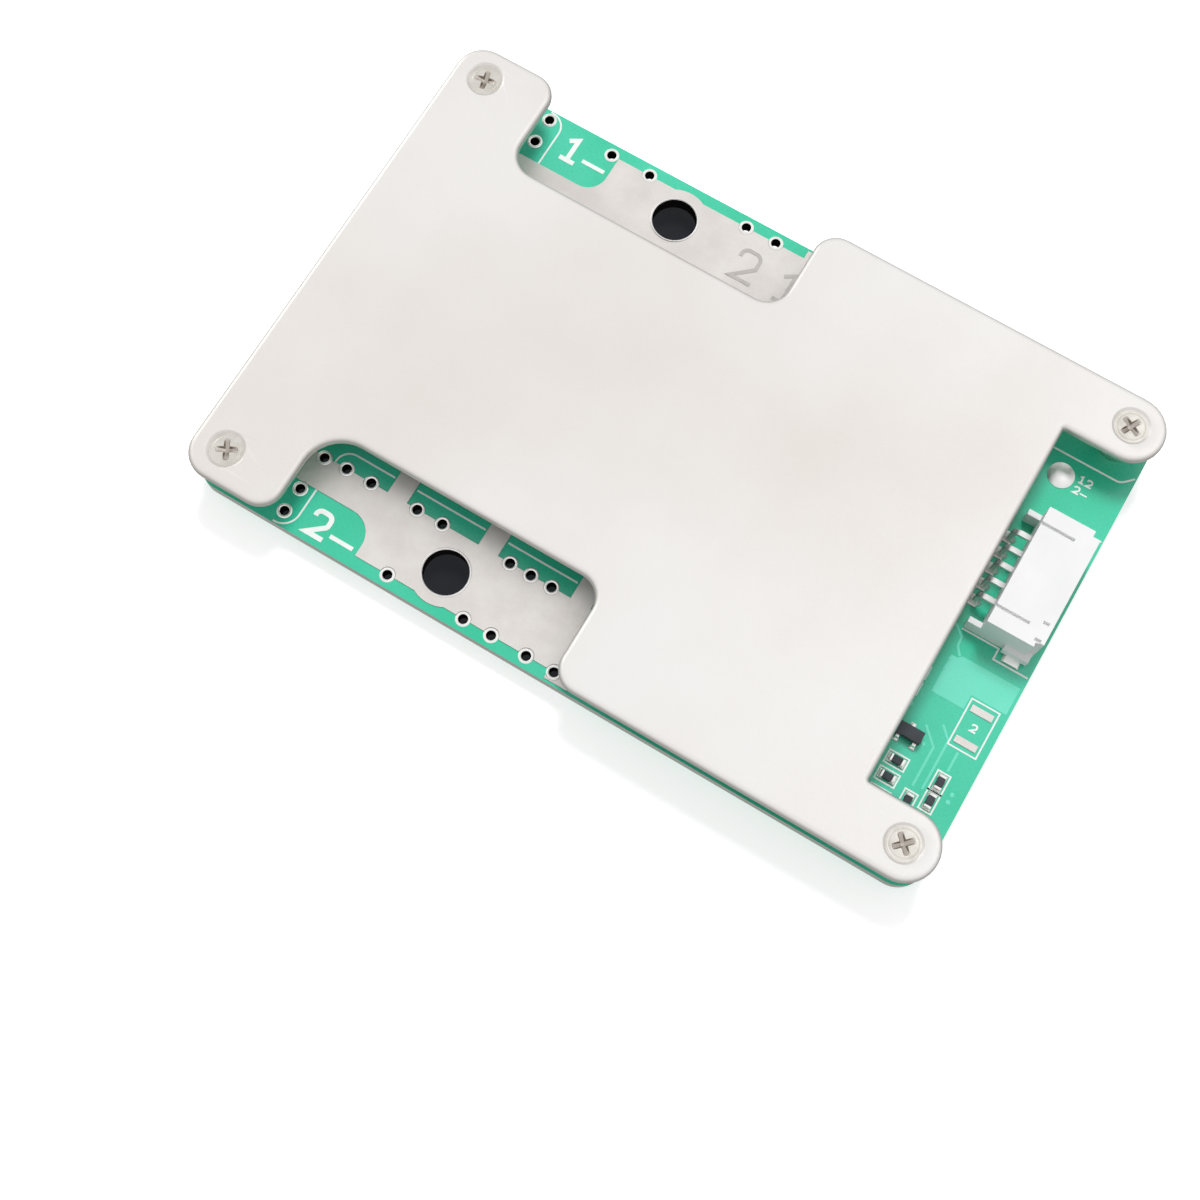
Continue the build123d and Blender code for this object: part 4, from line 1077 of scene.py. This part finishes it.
@dataclass
class SmallParts:
    """Chips, leads and the solder point of the open strip, and the parts hidden under the plate."""

    point: Pair = (36.15, 19.07)
    point_radius: float = 1.47
    point_height: float = 0.48
    point_wall: float = 0.08
    base: float = BOARD_TOP
    cells: int = 4
    package_round: float = 0.06
    lead_round: float = 0.03

    def dome(self) -> Surface:
        """Solder point.

        Returns:
            A short wall under a dome, whose height falls from the middle as the square of the distance.
        """
        share = np.linspace(1, 0, 12)
        height = self.point_wall + (self.point_height - self.point_wall) * (1 - share**2)
        curve = np.column_stack([self.point_radius * share, self.base + height])
        return revolved(np.vstack([[(0.0, self.base), (self.point_radius, self.base)], curve]), 56)

    def build(self) -> None:
        """Makes the pieces."""
        dome = self.dome().copies(at_level(np.array([self.point]), 0.0))
        dome.piece("solder_dome", BRIGHT_TIN, ["solder_point"])
        packages = ["edge_transistor", "controller_chip", "chip_resistors"]
        packages += numbered("balance_transistor", self.cells) + numbered("balance_resistor", self.cells)
        for node in packages:
            softened(node, EPOXY, self.package_round)
        softened("filter_capacitors", CERAMIC, self.package_round)
        for node in ("controller_leads", "small_transistor_leads"):
            softened(node, BRIGHT_TIN, self.lead_round)
        for node in ("chip_resistor_ends", "filter_capacitor_ends", "balance_resistor_ends"):
            softened(node, BRIGHT_TIN, self.package_round)


# Floor, lamps and camera

class LampUse(Enum):
    """What a lamp lights."""

    BODY = "colour and shadow"
    GLINT = "shine alone"


@dataclass(frozen=True)
class Lamp:
    """Square lamp: its place and size in millimetres, its power and its use."""

    name: str
    place: Triple
    size: float
    power: float
    use: LampUse


LAMPS = (
    Lamp("key", (-110.0, 320.0, 600.0), 200.0, 2.9, LampUse.BODY),
    Lamp("west_glint", (-520.0, 160.0, 170.0), 320.0, 0.5, LampUse.GLINT),
    Lamp("east_glint", (250.0, 250.0, 600.0), 400.0, 0.26, LampUse.GLINT),
)


def stand(place: np.ndarray | Triple, side: np.ndarray | Triple, top: np.ndarray | Triple,
          back: np.ndarray) -> Matrix:
    """Matrix of a lamp or a camera.

    Args:
        place: Where it stands, in millimetres.
        side: Its own x axis.
        top: Its own y axis.
        back: Its own z axis, which points away from what it faces.

    Returns:
        The axes and the place as columns.
    """
    columns = np.eye(4)
    columns[:3] = np.column_stack([side, top, back, np.array(place) * MM])
    return Matrix(columns.tolist())


@dataclass
class Studio:
    """Pale floor, soft lamps and the camera at the photograph's angle."""

    camera_place: Triple = (23.584, -59.948, 172.759)
    right: Triple = (0.85918, 0.51153, 0.01195)
    up: Triple = (-0.49545, 0.82589, 0.26913)
    forward: Triple = (-0.12780, 0.23716, -0.96303)
    lens: float = 50.836
    sensor: float = 36.0
    nearest: float = 10.0
    floor_half: float = 1500.0
    floor_colour: tuple[float, float, float, float] = (0.86, 0.86, 0.86, 1.0)
    floor_glow: float = 0.6
    floor_roughness: float = 0.9
    # Painted shadow: the floor's near-black colour under the board.
    painted_shadow_colour: tuple[float, float, float, float] = (0.012, 0.013, 0.016, 1.0)
    shade_half: Pair = (42.9, 28.0)
    shade_corner: float = 3.0
    shade_blur: float = 0.7
    world_level: float = 0.56
    low_share: float = 0.6
    horizon: Pair = (-0.1, 0.35)
    lamps: tuple[Lamp, ...] = LAMPS

    def seen(self, sketch: Sketch, kinds: Iterable[str] = ("Camera",)) -> bpy.types.NodeSocket:
        """Mask of rays.

        Args:
            sketch: Where its nodes go.
            kinds: Blender's names of the rays.

        Returns:
            One where a ray is of one of the kinds, and nought elsewhere: the largest of their masks.
        """
        path = sketch.add("ShaderNodeLightPath")
        masks = [path.outputs[f"Is {kind} Ray"] for kind in kinds]
        return reduce(lambda first, second: sketch.maths("MAXIMUM", first, second), masks)

    def floor(self) -> None:
        """White sheet with a painted shadow, near black under the board so that holes show dark, and clear
        from below.
        """
        half = self.floor_half * MM
        mesh = bpy.data.meshes.new("floor")
        mesh.from_pydata([(-half, -half, 0), (half, -half, 0), (half, half, 0), (-half, half, 0)], [],
                         [(0, 1, 2, 3)])
        floor = bpy.data.objects.new("floor", mesh)
        bpy.context.scene.collection.objects.link(floor)
        mesh.materials.append(self.floor_material())
        for kind in ("diffuse", "glossy", "shadow"):
            setattr(floor, f"visible_{kind}", False)

    def floor_material(self) -> bpy.types.Material:
        """Material of the floor.

        Returns:
            A dull shader that glows where the camera sees it, and nothing on the floor's underside.
        """
        material = bpy.data.materials.new("white_floor")
        sketch = emptied(material)
        # Painted shadow: the floor turns near black under the board, so that holes look dark.
        colour = sketch.blend(self.painted_shadow_mask(sketch), self.floor_colour, self.painted_shadow_colour)
        shader = sketch.add("ShaderNodeBsdfPrincipled", Roughness=self.floor_roughness)
        sketch.feed(shader.inputs["Base Color"], colour)
        sketch.feed(shader.inputs["Emission Color"], colour)
        glow = sketch.maths("MULTIPLY", self.seen(sketch), self.floor_glow)
        sketch.feed(shader.inputs["Emission Strength"], glow)
        clear = sketch.add("ShaderNodeBsdfTransparent")
        below = sketch.add("ShaderNodeNewGeometry").outputs["Backfacing"]
        mix = sketch.add("ShaderNodeMixShader", Fac=below)
        sketch.feed(mix.inputs[1], shader.outputs["BSDF"])
        sketch.feed(mix.inputs[2], clear.outputs["BSDF"])
        output = sketch.add("ShaderNodeOutputMaterial")
        sketch.feed(output.inputs["Surface"], mix.outputs["Shader"])
        return material

    def painted_shadow_mask(self, sketch: Sketch) -> bpy.types.NodeSocket:
        """Mask of the painted shadow on the floor under the board.

        Args:
            sketch: Where its nodes go.

        Returns:
            One under the board: a soft step of the distance to a rectangle with round corners.
        """
        value = sketch.place()
        inner = tuple((half - self.shade_corner) * MM for half in self.shade_half) + (1.0,)
        for operation, other in (("ABSOLUTE", None), ("SUBTRACT", inner), ("MAXIMUM", (0.0, 0.0, 0.0))):
            step = sketch.add("ShaderNodeVectorMath", {"operation": operation})
            sketch.feed(step.inputs[0], value)
            if other:
                sketch.feed(step.inputs[1], other)
            value = step.outputs["Vector"]
        distance = sketch.add("ShaderNodeVectorMath", {"operation": "LENGTH"})
        sketch.feed(distance.inputs[0], value)
        edge = (self.shade_corner * MM, (self.shade_corner - self.shade_blur) * MM)
        return sketch.spread(distance.outputs["Value"], edge)

    def world(self) -> None:
        """Even pale light from above that is duller from below, white where the camera sees it.

        The level is the sky's share of its own brightness, from the low share under the horizon to one
        above it, and the camera's mask lifts it to one.
        """
        world = bpy.data.worlds.new("soft_box")
        sketch = emptied(world)
        mirrored = self.seen(sketch, ("Glossy", "Transmission"))
        sky = sketch.spread(mirrored, (0.0, 1.0), (self.world_level, 1.0))
        heading = sketch.add("ShaderNodeTexCoord").outputs["Generated"]
        height = sketch.add("ShaderNodeSeparateXYZ", Vector=heading)
        rise = sketch.spread(height.outputs["Z"], self.horizon, (self.low_share, 1.0))
        level = sketch.maths("MAXIMUM", sketch.maths("MULTIPLY", sky, rise), self.seen(sketch))
        light = sketch.add("ShaderNodeBackground", Color=(1.0, 1.0, 1.0, 1.0), Strength=level)
        output = sketch.add("ShaderNodeOutputWorld")
        sketch.feed(output.inputs["Surface"], light.outputs["Background"])
        bpy.context.scene.world = world

    def light(self) -> None:
        """Square lamps that face the part."""
        for lamp in self.lamps:
            source = bpy.data.lights.new(lamp.name, "AREA")
            source.size = lamp.size * MM
            source.energy = lamp.power
            holder = bpy.data.objects.new(lamp.name, source)
            away = np.array(lamp.place) / np.linalg.norm(lamp.place)
            side = np.cross((0.0, 1.0, 0.0), away)
            side /= np.linalg.norm(side)
            holder.matrix_world = stand(lamp.place, side, np.cross(away, side), away)
            holder.visible_glossy = lamp.use is not LampUse.BODY
            holder.visible_diffuse = lamp.use is not LampUse.GLINT
            bpy.context.scene.collection.objects.link(holder)

    def camera(self) -> None:
        """Camera whose place, turn and lens are fitted to the photograph."""
        lens = bpy.data.cameras.new("camera")
        lens.lens = self.lens
        lens.sensor_width = self.sensor
        lens.clip_start = self.nearest * MM
        camera = bpy.data.objects.new("camera", lens)
        camera.matrix_world = stand(self.camera_place, self.right, self.up, -np.array(self.forward))
        bpy.context.scene.collection.objects.link(camera)
        bpy.context.scene.camera = camera

    def build(self) -> None:
        """Makes the floor, the light and the camera."""
        self.floor()
        self.world()
        self.light()
        self.camera()
        bpy.context.scene.view_settings.view_transform = "Standard"


def main() -> None:
    """Builds the sub-assemblies in order."""
    logging.basicConfig(level=logging.INFO, format="%(name)s: %(message)s")
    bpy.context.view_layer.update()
    for part in (HeatSink(), CornerFastening(), PrintedBoard(), PowerStage(), BalanceHeader(), SmallParts()):
        LOG.info("building %s", type(part).__name__)
        part.build()
    Studio().build()


if __name__ == "__main__":
    main()
